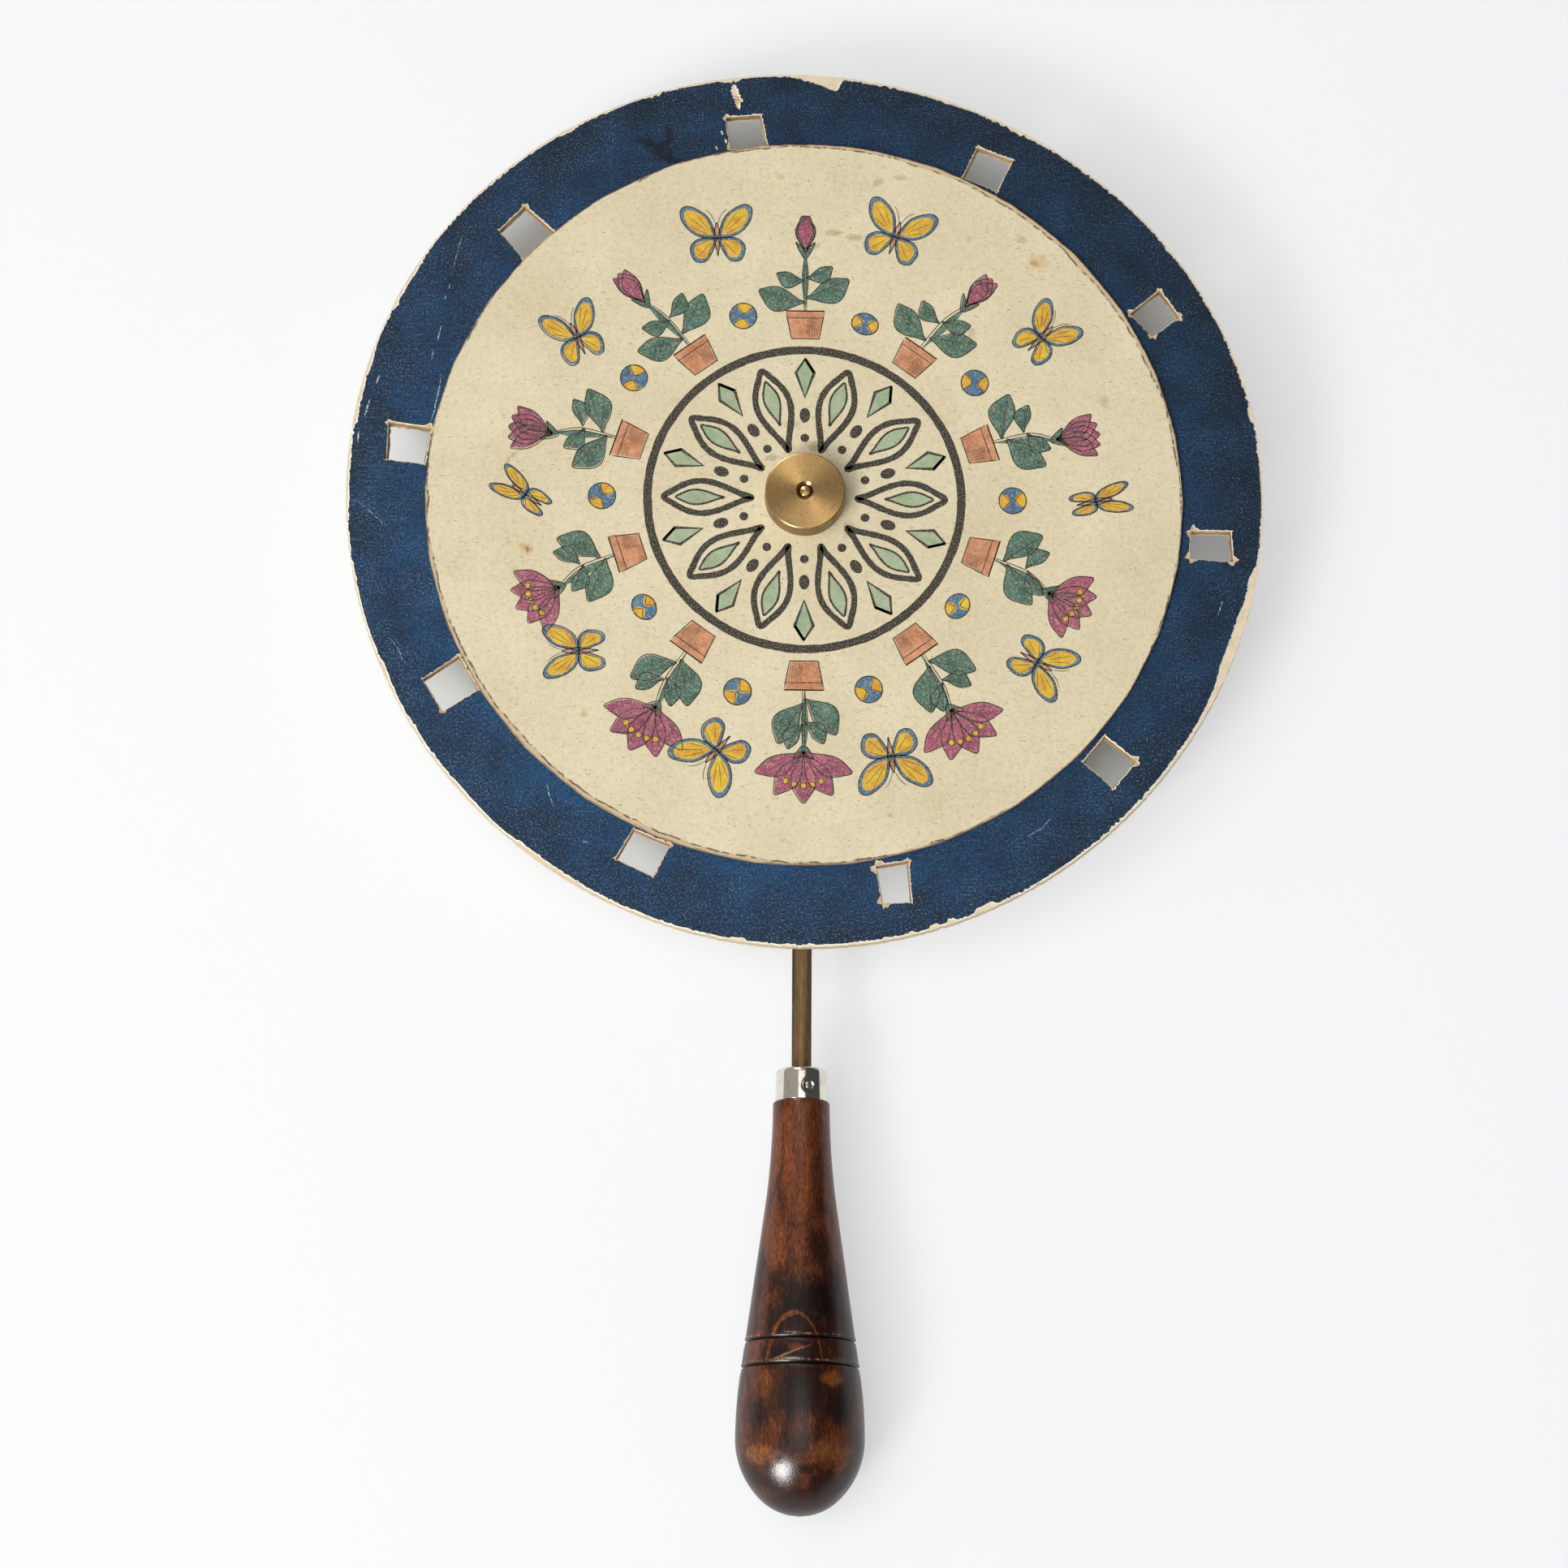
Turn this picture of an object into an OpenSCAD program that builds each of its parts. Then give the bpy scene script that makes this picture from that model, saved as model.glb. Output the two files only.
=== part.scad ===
// Hand-held phenakistiscope of the two-disc kind, in millimetres.
// A slotted viewing disc and a smaller picture disc are clamped by a round nut
// on a brass spindle. The spindle turns in the eye of a brass rod, and the rod
// is set in a turned wooden handle with a pinned ferrule.
// The origin is on the spindle's axis, at the front face of the slotted disc.
// +Z points out of the picture, and the handle runs along -Y.

/* [Slotted disc] */
// Mean radius of the hand-cut rim
disc_r = 130; // [126:0.5:160]
// Thickness of the pasteboard
board_t = 2.4; // [1.6:0.1:4]
// Thickness of the blue facing paper
facing_t = 0.2; // [0.1:0.05:0.4]
// Bare board left round the facing paper
facing_margin = 1.4; // [0.4:0.1:3]
// Thickness of the lining paper on the back
lining_t = 0.2; // [0.1:0.05:0.4]
// Bare board left round the lining paper
lining_margin = 4; // [1:0.5:8]

/* [Viewing slots] */
// Number of slots
slot_count = 10; // [6:1:12]
// Length of a slot along the radius
slot_l = 11.3; // [8:0.1:14]
// Width of a slot across the radius
slot_w = 10.6; // [6:0.1:14]
// Width of board left between the slots and the rim
rim_band = 10.4; // [6:0.1:16]
// Gap between the picture disc and the inner ends of the slots
slot_gap = 1; // [0.5:0.1:3]
// Angle of the first slot
first_slot = -7; // [-18:1:18]
// How far the centre of the ring of slots lies to the side of the spindle
slot_ring_x = 1.2; // [0:0.1:2]
// How far the centre of the ring of slots lies beyond the spindle
slot_ring_y = 0.4; // [0:0.1:2]

/* [Picture disc] */
// Thickness of its card
card_t = 1; // [0.6:0.1:2]
// Thickness of the printed sheet pasted on the card
print_t = 0.2; // [0.1:0.05:0.4]
// How far its cut edge is off centre, away from the handle
picture_offset = 0.6; // [0:0.1:1]

/* [Spindle] */
// Diameter of the spigot that centres both discs
spigot_d = 6; // [5:0.1:8]
// Radial clearance of the discs on the spigot
disc_fit = 0.1; // [0.05:0.01:0.2]
// How far the spigot stops below the front of the picture disc
spigot_relief = 0.2; // [0.1:0.05:0.5]
// Diameter over the thread that takes the nut
thread_d = 3.8; // [3:0.1:4.6]
// Diameter of the flange behind the discs
flange_d = 16; // [12:0.5:24]
// Diameter of the journal that turns in the eye
journal_d = 5; // [4:0.1:6]
// Radial clearance of the journal in the eye
journal_fit = 0.05; // [0.02:0.01:0.1]
// Play of the eye between the flange and the rear washer, each way
end_play = 0.05; // [0.02:0.01:0.1]
// Diameter of the stub that the rear washer sits on
stub_d = 3.4; // [2.4:0.1:3.8]
// Diameter of the riveted head
rivet_d = 5.6; // [4.6:0.1:7]
// Height of the riveted head
rivet_h = 0.8; // [0.5:0.1:1.2]

/* [Nut and washer] */
// Diameter of the clamping nut
nut_d = 22.5; // [16:0.5:30]
// Thickness of the nut
nut_t = 7; // [5:0.5:10]
// Chamfer on both rims of the nut
nut_chamfer = 0.4; // [0.2:0.1:1]
// Diameter of the countersink in its face
sink_d = 5.4; // [4.8:0.1:8]
// Depth of the countersink
sink_t = 0.8; // [0.4:0.1:1.5]
// Radial clearance between the nut and the thread
thread_fit = 0.05; // [0.02:0.01:0.1]
// Diameter of the rear washer
washer_d = 9; // [7:0.5:12]
// Thickness of the rear washer
washer_t = 0.5; // [0.3:0.1:1]
// Clearance of the washer on its stub
washer_fit = 0.05; // [0.02:0.01:0.2]

/* [Rod] */
// Diameter of the rod
rod_d = 5.4; // [4.6:0.1:7]
// Distance from the spindle's axis to the ferrule
reach = 162.6; // [135:0.1:200]
// Gap between the back of the slotted disc and the rod
rod_gap = 0.4; // [0.3:0.1:1]
// Diameter of the forged eye
eye_d = 12; // [10:0.5:15]
// Thickness of the eye
eye_t = 4; // [3:0.1:4.4]
// Radius of the hollow fillet from the eye into the rod
neck_fillet = 8; // [4:0.5:12]
// Length of the flats that run out on the rod below the eye
flat_runout = 8; // [4:0.5:14]
// Depth of the rod's tang in the wood, from the ferrule's top
tang_l = 42; // [25:1:60]
// Radial clearance of the tang in its bore
tang_fit = 0.03; // [0.01:0.01:0.1]

/* [Ferrule] */
// Length of the ferrule
ferrule_l = 9; // [6:0.5:14]
// Diameter of the ferrule at its closed end
ferrule_d = 14; // [12:0.5:18]
// How much wider the ferrule is at its open lip
ferrule_flare = 0.5; // [0:0.1:1]
// Wall of the ferrule
ferrule_wall = 0.6; // [0.4:0.1:1]
// Outer radius of the drawn corner
ferrule_corner = 1.2; // [0.8:0.1:2]
// Clearance between the ferrule and the tenon
tenon_fit = 0.05; // [0.02:0.01:0.2]
// Distance of the dimple from the lip
dimple_from_lip = 3.8; // [3:0.1:5]
// Angle of the dimple round the ferrule, from the front
dimple_angle = 16; // [0:1:45]
// Diameter of the punched dimple
dimple_d = 3.3; // [2.6:0.1:4]
// Depth of the punched dimple
dimple_depth = 0.6; // [0.3:0.1:0.8]
// Diameter of the pin's shank
pin_d = 1; // [0.8:0.1:1.4]
// Diameter of the pin's head
pin_head_d = 1.7; // [1.5:0.1:2]
// Thickness of the pin's head
pin_head_t = 0.3; // [0.2:0.1:0.4]
// Length of the pin's shank
pin_l = 3.2; // [2.4:0.1:3.4]
// Clearance round the pin
pin_fit = 0.03; // [0.01:0.01:0.05]

/* [Handle] */
// Length of the wood below the ferrule
handle_l = 111.9; // [90:0.1:150]
// Diameter at the shoulder, next to the ferrule
shoulder_d = 15.6; // [15.2:0.1:20]
// Rounding of the shoulder
shoulder_round = 0.8; // [0.4:0.1:1.5]
// Radius of the long hollow curve below the shoulder
hollow_r = 210; // [150:5:260]
// Radius of the curve that swells into the bulb
swell_r = 120; // [80:5:150]
// Largest diameter, at the bulb
bulb_d = 34.9; // [30:0.1:42]
// Distance from the largest diameter to the end
bulb_l = 20.5; // [18.5:0.1:26]
// Radius of the rounded end
end_r = 15; // [12:0.1:15.5]
// Distance of the first scribed groove from the end
groove_1 = 46.3; // [40:0.1:50]
// Distance of the second scribed groove from the end
groove_2 = 39.3; // [36:0.1:39.5]
// Width of a scribed groove
groove_w = 0.9; // [0.5:0.1:2]
// Depth of a scribed groove
groove_depth = 0.5; // [0.3:0.1:1]

/* [Hidden] */
$fn = 96;

// The rim was cut by hand. These are the heights of the slow waves that it makes
// with once, twice, three and four times round the disc, and their phases.
wave_h = [1.1, 0.5, 0.9, 0.3];
wave_phase = [90, -70, 60, 60];
// Angle between the points of the rim's outline
rim_step = 2;
// The slots were marked out by eye. This is how far each is from its even place,
// in degrees anticlockwise.
slot_drift = [0, 0.5, -2, -1.5, -1, 0, 0.5, 1.5, 1, 0.5];
// Distance by which a cutter passes the face that it cuts
over = 1;
// Steps in each arc of a turned outline
arc_steps = 12;

// Faces along the spindle, from front to back
picture_z = card_t + print_t;
nut_z = picture_z + nut_t;
thread_z = nut_z - sink_t / 4;
spigot_z = picture_z - spigot_relief;
disc_back = -(facing_t + board_t + lining_t);
rod_z = disc_back - rod_gap - rod_d / 2;
eye_front = rod_z + eye_t / 2;
eye_back = rod_z - eye_t / 2;
flange_back = eye_front + end_play;
washer_z = eye_back - end_play;
stub_z = washer_z - washer_t;

// Ring of slots, and the picture disc that lies inside it
slot_r = disc_r - rim_band - slot_l / 2;
picture_r = slot_r - slot_l / 2 - slot_gap;
hole_r = spigot_d / 2 + disc_fit;

// Neck of the eye: the hollow fillet's circle touches the eye and the rod's side
neck_y = sqrt(pow(eye_d / 2 + neck_fillet, 2) - pow(rod_d / 2 + neck_fillet, 2));
// How far the round rod laps into the neck, and the slope that trims the neck's corners
neck_lap = 3;
neck_slope = 30;

// Turned profiles run along the handle's axis: the station is 0 at the shoulder
// of the wood and grows towards the end of the handle.
shoulder_y = -(reach + ferrule_l);
tang_end = tang_l - ferrule_l;
tenon_r = ferrule_d / 2 - ferrule_wall - tenon_fit;
tenon_l = ferrule_l - ferrule_wall - tenon_fit;
bulb_s = handle_l - bulb_l;
// Slope of the straight cone between the hollow curve and the swell, which both touch
curve_r = hollow_r + swell_r;
swell = (bulb_d - shoulder_d) / 2;
cone_a = atan2(bulb_s, curve_r - swell)
    - acos(curve_r / norm([curve_r - swell, bulb_s]));
// Radius and centre of the arc between the bulb and the rounded end, which touches both
side_r = (pow(bulb_l - end_r, 2) + pow(bulb_d / 2, 2) - pow(end_r, 2)) / (bulb_d - 2 * end_r);
side_c = bulb_d / 2 - side_r;
join_a = atan2(-side_c, bulb_l - end_r);

// Radius of the wood on the straight cone, at station s
function cone_r(s) = shoulder_d / 2 + hollow_r * (1 - cos(cone_a))
    + (s - hollow_r * sin(cone_a)) * tan(cone_a);

// Points of an arc of radius r about centre c, between angles a1 and a2
function arc(c, r, a1, a2, steps = arc_steps) = [
    for (i = [0:steps]) c + r * [cos(a1 + (a2 - a1) * i / steps), sin(a1 + (a2 - a1) * i / steps)]
];

// Radius of the hand-cut rim at an angle
function rim_r(a) = disc_r
    + wave_h * [for (k = [0:len(wave_h) - 1]) cos((k + 1) * a - wave_phase[k])];

// Angle of slot number i about the centre of its ring
function slot_angle(i) = first_slot + i * 360 / slot_count + slot_drift[i % len(slot_drift)];

// Turns a profile of [radius, station] points about the handle's axis
module turned() {
    translate([0, shoulder_y, rod_z])
        rotate([90, 0, 0])
            rotate_extrude()
                children();
}

// One layer of the slotted disc, from z upwards: the rim drawn in by margin,
// less the slots and the spindle hole
module disc_layer(z, thickness, margin) {
    translate([0, 0, z])
        linear_extrude(thickness)
            difference() {
                polygon([for (a = [0:rim_step:359]) (rim_r(a) - margin) * [cos(a), sin(a)]]);
                circle(hole_r);
                translate([slot_ring_x, slot_ring_y])
                    for (i = [0:slot_count - 1])
                        rotate(slot_angle(i))
                            translate([slot_r, 0])
                                square([slot_l, slot_w], center = true);
            }
}

// One layer of the picture disc, from z upwards
module picture_layer(z, thickness) {
    translate([0, 0, z])
        linear_extrude(thickness)
            difference() {
                translate([0, picture_offset])
                    circle(picture_r, $fn = 240);
                circle(hole_r);
            }
}

// Pasteboard of the slotted disc
module slotted_board() {
    color("tan")
        disc_layer(-facing_t - board_t, board_t, 0);
}

// Blue paper pasted on the front of the board, worn back from the rim
module slotted_facing() {
    color("midnightblue")
        disc_layer(-facing_t, facing_t, facing_margin);
}

// Plain paper pasted on the back of the board, trimmed short of the rim
module slotted_lining() {
    color("wheat")
        disc_layer(disc_back, lining_t, lining_margin);
}

// Card of the picture disc
module picture_card() {
    color("burlywood")
        picture_layer(0, card_t);
}

// Printed sheet pasted on the card
module picture_print() {
    color("cornsilk")
        picture_layer(card_t, print_t);
}

// Turned spindle: chamfered thread, spigot, flange, journal, stub and riveted head
module spindle() {
    thread_r = thread_d / 2;
    point = thread_r * 0.15;
    head_r = (pow(rivet_d / 2, 2) + pow(rivet_h, 2)) / (2 * rivet_h);
    head_a = asin(rivet_d / 2 / head_r);
    color("darkgoldenrod")
        rotate_extrude()
            polygon(concat(
                [[0, thread_z], [thread_r - point, thread_z], [thread_r, thread_z - point]],
                [[thread_r, spigot_z], [spigot_d / 2, spigot_z], [spigot_d / 2, disc_back]],
                [[flange_d / 2, disc_back], [flange_d / 2, flange_back]],
                [[journal_d / 2, flange_back], [journal_d / 2, washer_z]],
                [[stub_d / 2, washer_z], [stub_d / 2, stub_z]],
                arc([0, stub_z - rivet_h + head_r], head_r, head_a - 90, -90, 6)
            ));
}

// Washer that the spindle's end is riveted over
module rear_washer() {
    color("goldenrod")
        translate([0, 0, stub_z])
            difference() {
                cylinder(h = washer_t, d = washer_d);
                translate([0, 0, -over])
                    cylinder(h = washer_t + 2 * over, d = stub_d + 2 * washer_fit);
            }
}

// Round nut, chamfered on both rims, with a countersunk hole
module clamp_nut() {
    nut_r = nut_d / 2;
    bore_r = thread_d / 2 + thread_fit;
    color("goldenrod")
        rotate_extrude()
            polygon([
                [bore_r, picture_z], [nut_r - nut_chamfer, picture_z], [nut_r, picture_z + nut_chamfer],
                [nut_r, nut_z - nut_chamfer], [nut_r - nut_chamfer, nut_z],
                [sink_d / 2, nut_z], [bore_r, nut_z - sink_t]
            ]);
}

// Outline of the eye and its neck, seen along the spindle: the round eye runs
// through a hollow fillet on each side into the sides of the rod
module eye_outline() {
    fillet_x = rod_d / 2 + neck_fillet;
    touch_a = atan2(neck_y, fillet_x);
    polygon(concat(
        arc([fillet_x, -neck_y], neck_fillet, 180, 180 - touch_a, 8),
        arc([0, 0], eye_d / 2, -touch_a, 180 + touch_a, 40),
        arc([-fillet_x, -neck_y], neck_fillet, touch_a, 0, 8)
    ));
}

// Side view of the eye and the rod: the eye's flats slope outwards past its neck
// and run out of the round rod
module rod_side() {
    flat_z = eye_t / 2;
    past_z = rod_d - flat_z;
    past_y = -neck_y - 2 * flat_runout;
    end_y = -reach - tang_l - over;
    polygon([
        [eye_d, flat_z], [-neck_y, flat_z], [past_y, past_z], [end_y, past_z],
        [end_y, -past_z], [past_y, -past_z], [-neck_y, -flat_z], [eye_d, -flat_z]
    ]);
}

// Round rod from inside the neck to the tang's chamfered tip
module rod_round() {
    rod_r = rod_d / 2;
    tip = rod_r / 3;
    rotate([90, 0, 0])
        rotate_extrude()
            polygon([
                [0, neck_y - neck_lap], [rod_r, neck_y - neck_lap], [rod_r, reach + tang_l - tip],
                [rod_r - tip, reach + tang_l], [0, reach + tang_l]
            ]);
}

// Cone that takes the corners off the neck where it turns into the round rod
module neck_cone() {
    waist_r = 0.95 * rod_d / 2;
    rotate([90, 0, 0])
        rotate_extrude()
            polygon([
                [0, -eye_d], [waist_r + (neck_y + eye_d) * tan(neck_slope), -eye_d],
                [waist_r, neck_y], [0, neck_y]
            ]);
}

// Brass rod: forged eye with a bore for the journal, round shank, tang in the handle
module rod() {
    color("saddlebrown")
        translate([0, 0, rod_z])
            difference() {
                intersection() {
                    union() {
                        intersection() {
                            translate([0, 0, -rod_d])
                                linear_extrude(2 * rod_d)
                                    eye_outline();
                            neck_cone();
                        }
                        rod_round();
                    }
                    rotate([90, 0, 90])
                        translate([0, 0, -eye_d])
                            linear_extrude(2 * eye_d)
                                rod_side();
                }
                translate([0, 0, -rod_d])
                    cylinder(h = 2 * rod_d, r = journal_d / 2 + journal_fit);
            }
}

// Places its children on the ferrule's dimple, with +Z pointing out of the ferrule
module at_dimple() {
    translate([0, shoulder_y + dimple_from_lip, rod_z])
        rotate([0, dimple_angle, 0])
            children();
}

// Radius of the ferrule's outside at the dimple
dimple_r = ferrule_d / 2 + ferrule_flare / 2 * (1 - dimple_from_lip / ferrule_l);
// Ball whose cap is the dimple
ball_r = (pow(dimple_d / 2, 2) + pow(dimple_depth, 2)) / (2 * dimple_depth);
ball_z = dimple_r + ball_r - dimple_depth;

// Drawn cup: a closed end with a hole for the rod, a flared lip and a punched dimple
module ferrule() {
    top_r = ferrule_d / 2;
    lip_r = top_r + ferrule_flare / 2;
    inner_corner = ferrule_corner - ferrule_wall;
    rod_hole = rod_d / 2 + tang_fit;
    color("silver")
        difference() {
            union() {
                turned()
                    polygon(concat(
                        [[rod_hole, -ferrule_l]],
                        arc([top_r - ferrule_corner, ferrule_corner - ferrule_l], ferrule_corner, -90, 0, 8),
                        [[lip_r, 0], [lip_r - ferrule_wall, 0]],
                        arc([top_r - ferrule_corner, ferrule_corner - ferrule_l], inner_corner, 0, -90, 8),
                        [[rod_hole, ferrule_wall - ferrule_l]]
                    ));
                at_dimple()
                    intersection() {
                        translate([0, 0, ball_z])
                            sphere(ball_r + ferrule_wall);
                        translate([0, 0, dimple_r - ferrule_wall - dimple_depth])
                            cylinder(h = dimple_depth + ferrule_wall / 2, d = dimple_d);
                    }
            }
            at_dimple() {
                translate([0, 0, ball_z])
                    sphere(ball_r);
                cylinder(h = dimple_r, d = pin_d + 2 * pin_fit);
            }
        }
}

// Brad: round head seated in the dimple, shank with a short point in the wood
module ferrule_pin() {
    seat = ball_z - sqrt(pow(ball_r, 2) - pow(pin_head_d / 2, 2));
    color("dimgray")
        at_dimple()
            rotate_extrude()
                polygon([
                    [0, seat + pin_head_t], [pin_head_d / 2 - pin_head_t / 3, seat + pin_head_t],
                    [pin_head_d / 2, seat + pin_head_t / 2], [pin_head_d / 2, seat], [pin_d / 2, seat],
                    [pin_d / 2, seat + pin_d - pin_l], [0, seat - pin_l]
                ]);
}

// Ring cutter for one scribed V groove at station s
module groove(s) {
    wood_r = cone_r(s);
    turned()
        polygon([
            [wood_r - groove_depth, s], [wood_r + over, s + groove_w / 2 * (1 + over / groove_depth)],
            [wood_r + over, s - groove_w / 2 * (1 + over / groove_depth)]
        ]);
}

// Turned wooden handle: tenon, rounded shoulder, hollow, cone, swell and rounded end
module handle() {
    shoulder_r = shoulder_d / 2;
    tenon_chamfer = ferrule_corner;
    hollow_c = [shoulder_r + hollow_r, 0];
    swell_c = [bulb_d / 2 - swell_r, bulb_s];
    color("brown")
        difference() {
            turned()
                polygon(concat(
                    [[0, -tenon_l], [tenon_r - tenon_chamfer, -tenon_l], [tenon_r, tenon_chamfer - tenon_l]],
                    [[tenon_r, 0]],
                    arc([shoulder_r - shoulder_round, shoulder_round], shoulder_round, -90, 0, 6),
                    arc(hollow_c, hollow_r, 180 - asin(2 * shoulder_round / hollow_r), 180 - cone_a),
                    arc(swell_c, swell_r, -cone_a, 0),
                    arc([side_c, bulb_s], side_r, 0, 90 - join_a),
                    arc([0, handle_l - end_r], end_r, 90 - join_a, 90)
                ));
            turned()
                polygon([
                    [0, -ferrule_l - over], [rod_d / 2 + tang_fit, -ferrule_l - over],
                    [rod_d / 2 + tang_fit, tang_end], [0, tang_end + rod_d / 3]
                ]);
            for (from_end = [groove_1, groove_2])
                groove(handle_l - from_end);
            at_dimple() {
                translate([0, 0, ball_z])
                    sphere(ball_r + ferrule_wall + tenon_fit);
                cylinder(h = dimple_r, d = pin_d + 2 * pin_fit);
            }
        }
}

handle();
ferrule();
ferrule_pin();
rod();
spindle();
rear_washer();
slotted_board();
slotted_facing();
slotted_lining();
picture_card();
picture_print();
clamp_nut();
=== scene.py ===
import math
import random

import bmesh
import bpy
from mathutils import Euler, Matrix, Vector, noise


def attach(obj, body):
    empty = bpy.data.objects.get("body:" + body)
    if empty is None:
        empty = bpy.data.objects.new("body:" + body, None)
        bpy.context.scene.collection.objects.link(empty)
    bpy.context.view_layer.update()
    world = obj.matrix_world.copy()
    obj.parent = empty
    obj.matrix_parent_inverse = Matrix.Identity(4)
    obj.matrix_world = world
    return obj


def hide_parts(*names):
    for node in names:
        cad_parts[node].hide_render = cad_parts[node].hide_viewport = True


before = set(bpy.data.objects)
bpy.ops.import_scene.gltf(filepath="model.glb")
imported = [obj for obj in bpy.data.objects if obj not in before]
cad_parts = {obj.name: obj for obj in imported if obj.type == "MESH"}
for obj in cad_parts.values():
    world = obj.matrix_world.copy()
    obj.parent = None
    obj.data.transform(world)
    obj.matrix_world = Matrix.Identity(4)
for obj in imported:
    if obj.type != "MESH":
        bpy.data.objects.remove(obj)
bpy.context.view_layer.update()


# Handle: one piece of beech turned on the lathe, stained dark red-brown and varnished.
# It is bored for the rod and turned down to a tenon for the ferrule. Two V grooves are
# scribed above the bulb, and a hand has worn the stain through in places.
mm = 0.001
rod_z = -5.9
bore_r, bore_l = 2.73, 33
tenon_r, tenon_l = 6.35, 8.35
shoulder_y = -171.6
ferrule_l = 9
handle_l = 111.9
shoulder_r, shoulder_round = 7.8, 0.8
hollow_r, swell_r = 210, 120
bulb_r, bulb_s = 17.45, 91.4
end_r = 15
grooves = (65.6, 72.6)
groove_w, groove_depth = 1.0, 0.55


def arc(centre, radius, start, stop, steps):
    """Points of an arc between two angles in degrees."""
    angles = [math.radians(start + (stop - start) * i / steps) for i in range(steps + 1)]
    return [(centre[0] + radius * math.cos(a), centre[1] + radius * math.sin(a)) for a in angles]


def lathe(profile, steps):
    """Turns a profile of (radius, height) points in mm about the Z axis."""
    bm = bmesh.new()
    verts = [bm.verts.new((r * mm, 0, h * mm)) for r, h in profile]
    edges = [bm.edges.new(pair) for pair in zip(verts, verts[1:])]
    bmesh.ops.spin(bm, geom=verts + edges, cent=(0, 0, 0), axis=(0, 0, 1), dvec=(0, 0, 0),
                   angle=math.tau, steps=steps, use_merge=True)
    bmesh.ops.remove_doubles(bm, verts=bm.verts, dist=0.0005 * mm)
    bmesh.ops.recalc_face_normals(bm, faces=bm.faces)
    return bm


def rough(spot, size, seed=0.0):
    """Smooth noise between -1 and 1, with lumps of the given size in mm."""
    return noise.noise(Vector((spot[0] / size, spot[1] / size, seed + (spot[2] / size if len(spot) > 2 else 0))))


def piece_of(name, bm, sharp=30):
    """Makes the mesh a piece, smooth but for the edges sharper than an angle."""
    for face in bm.faces:
        face.smooth = True
    for edge in bm.edges:
        edge.smooth = edge.calc_face_angle(math.pi) < math.radians(sharp)
    mesh = bpy.data.meshes.new(name)
    bm.to_mesh(mesh)
    bm.free()
    piece = bpy.data.objects.new(name, mesh)
    bpy.context.collection.objects.link(piece)
    return piece


def onto_handle(bm):
    """Lays a turned mesh along the handle's axis, station 0 at the wood's shoulder."""
    bm.transform(Matrix.Translation((0, shoulder_y * mm, rod_z * mm)) @ Matrix.Rotation(math.pi / 2, 4, "X"))


reach = hollow_r + swell_r
swell = bulb_r - shoulder_r
cone_a = math.degrees(math.atan2(bulb_s, reach - swell) - math.acos(reach / math.hypot(reach - swell, bulb_s)))
hollow = arc((shoulder_r + hollow_r, 0), hollow_r, 179.57, 180 - cone_a, 28)
bulge = arc((bulb_r - swell_r, bulb_s), swell_r, -cone_a, 0, 20)
(cone_r0, cone_s0), (cone_r1, cone_s1) = hollow[-1], bulge[0]
cone = [(cone_r0 + (cone_r1 - cone_r0) * i / 44, cone_s0 + (cone_s1 - cone_s0) * i / 44) for i in range(1, 44)]
cone = [p for p in cone if all(abs(p[1] - g) > groove_w for g in grooves)]
for g in grooves:
    wood_r = cone_r0 + (cone_r1 - cone_r0) * (g - cone_s0) / (cone_s1 - cone_s0)
    # a scribed groove has a burr of raised fibre along each side of the V
    cone.append((wood_r - groove_depth, g))
    for part, rise in ((0.14, -0.8 * groove_depth), (0.5, 0), (0.62, 0.03), (0.9, 0)):
        cone += [(wood_r + rise, g - part * groove_w), (wood_r + rise, g + part * groove_w)]
cone.sort(key=lambda p: p[1])
bulb_l = handle_l - bulb_s
side_r = ((bulb_l - end_r) ** 2 + bulb_r ** 2 - end_r ** 2) / (2 * (bulb_r - end_r))
join_a = math.degrees(math.atan2(side_r - bulb_r, bulb_l - end_r))
profile = [(0, bore_l + 1.8), (bore_r, bore_l), (bore_r, -tenon_l), (tenon_r - 1.2, -tenon_l),
           (tenon_r, 1.2 - tenon_l), (tenon_r, 0)]
profile += arc((shoulder_r - shoulder_round, shoulder_round), shoulder_round, -90, 0, 6)
profile += hollow[1:] + cone + bulge
profile += arc((bulb_r - side_r, bulb_s), side_r, 0, 90 - join_a, 20)[1:]
profile += arc((0, handle_l - end_r), end_r, 90 - join_a, 90, 20)[1:]
bm = lathe(profile, 176)

# knocks and slow unevenness from use and the sandpaper, all of them inwards
chance = random.Random(7)
knocks = [(chance.uniform(20, 108), chance.uniform(0, math.tau), chance.uniform(1.0, 2.6), chance.uniform(0.05, 0.16))
          for _ in range(22)]
knocks += [(111.2, 4.1, 1.3, 0.3), (94.0, 4.6, 1.6, 0.14), (58.0, 4.9, 1.2, 0.12)]
for vert in bm.verts:
    x, y, s = (c / mm for c in vert.co)
    r = math.hypot(x, y)
    # the tenon, the bore and the middle of the end stay true
    if s < 0.5 or r < 1.0 or (s < 36 and r < 4):
        continue
    inward = 0.03 + 0.03 * rough((x, y, s), 9, 3.0)
    for ks, ka, kr, depth in knocks:
        away = math.hypot(s - ks, r * math.remainder(math.atan2(y, x) - ka, math.tau))
        if away < kr:
            inward += depth * (0.5 + 0.5 * math.cos(math.pi * away / kr))
    # square to the round end, and level everywhere else
    pull = Vector((x, y, 0.35 * (s - 60) if s > 96 else 0)).normalized()
    vert.co -= pull * inward * mm
onto_handle(bm)
handle = piece_of("turned_handle", bm, 38)


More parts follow.
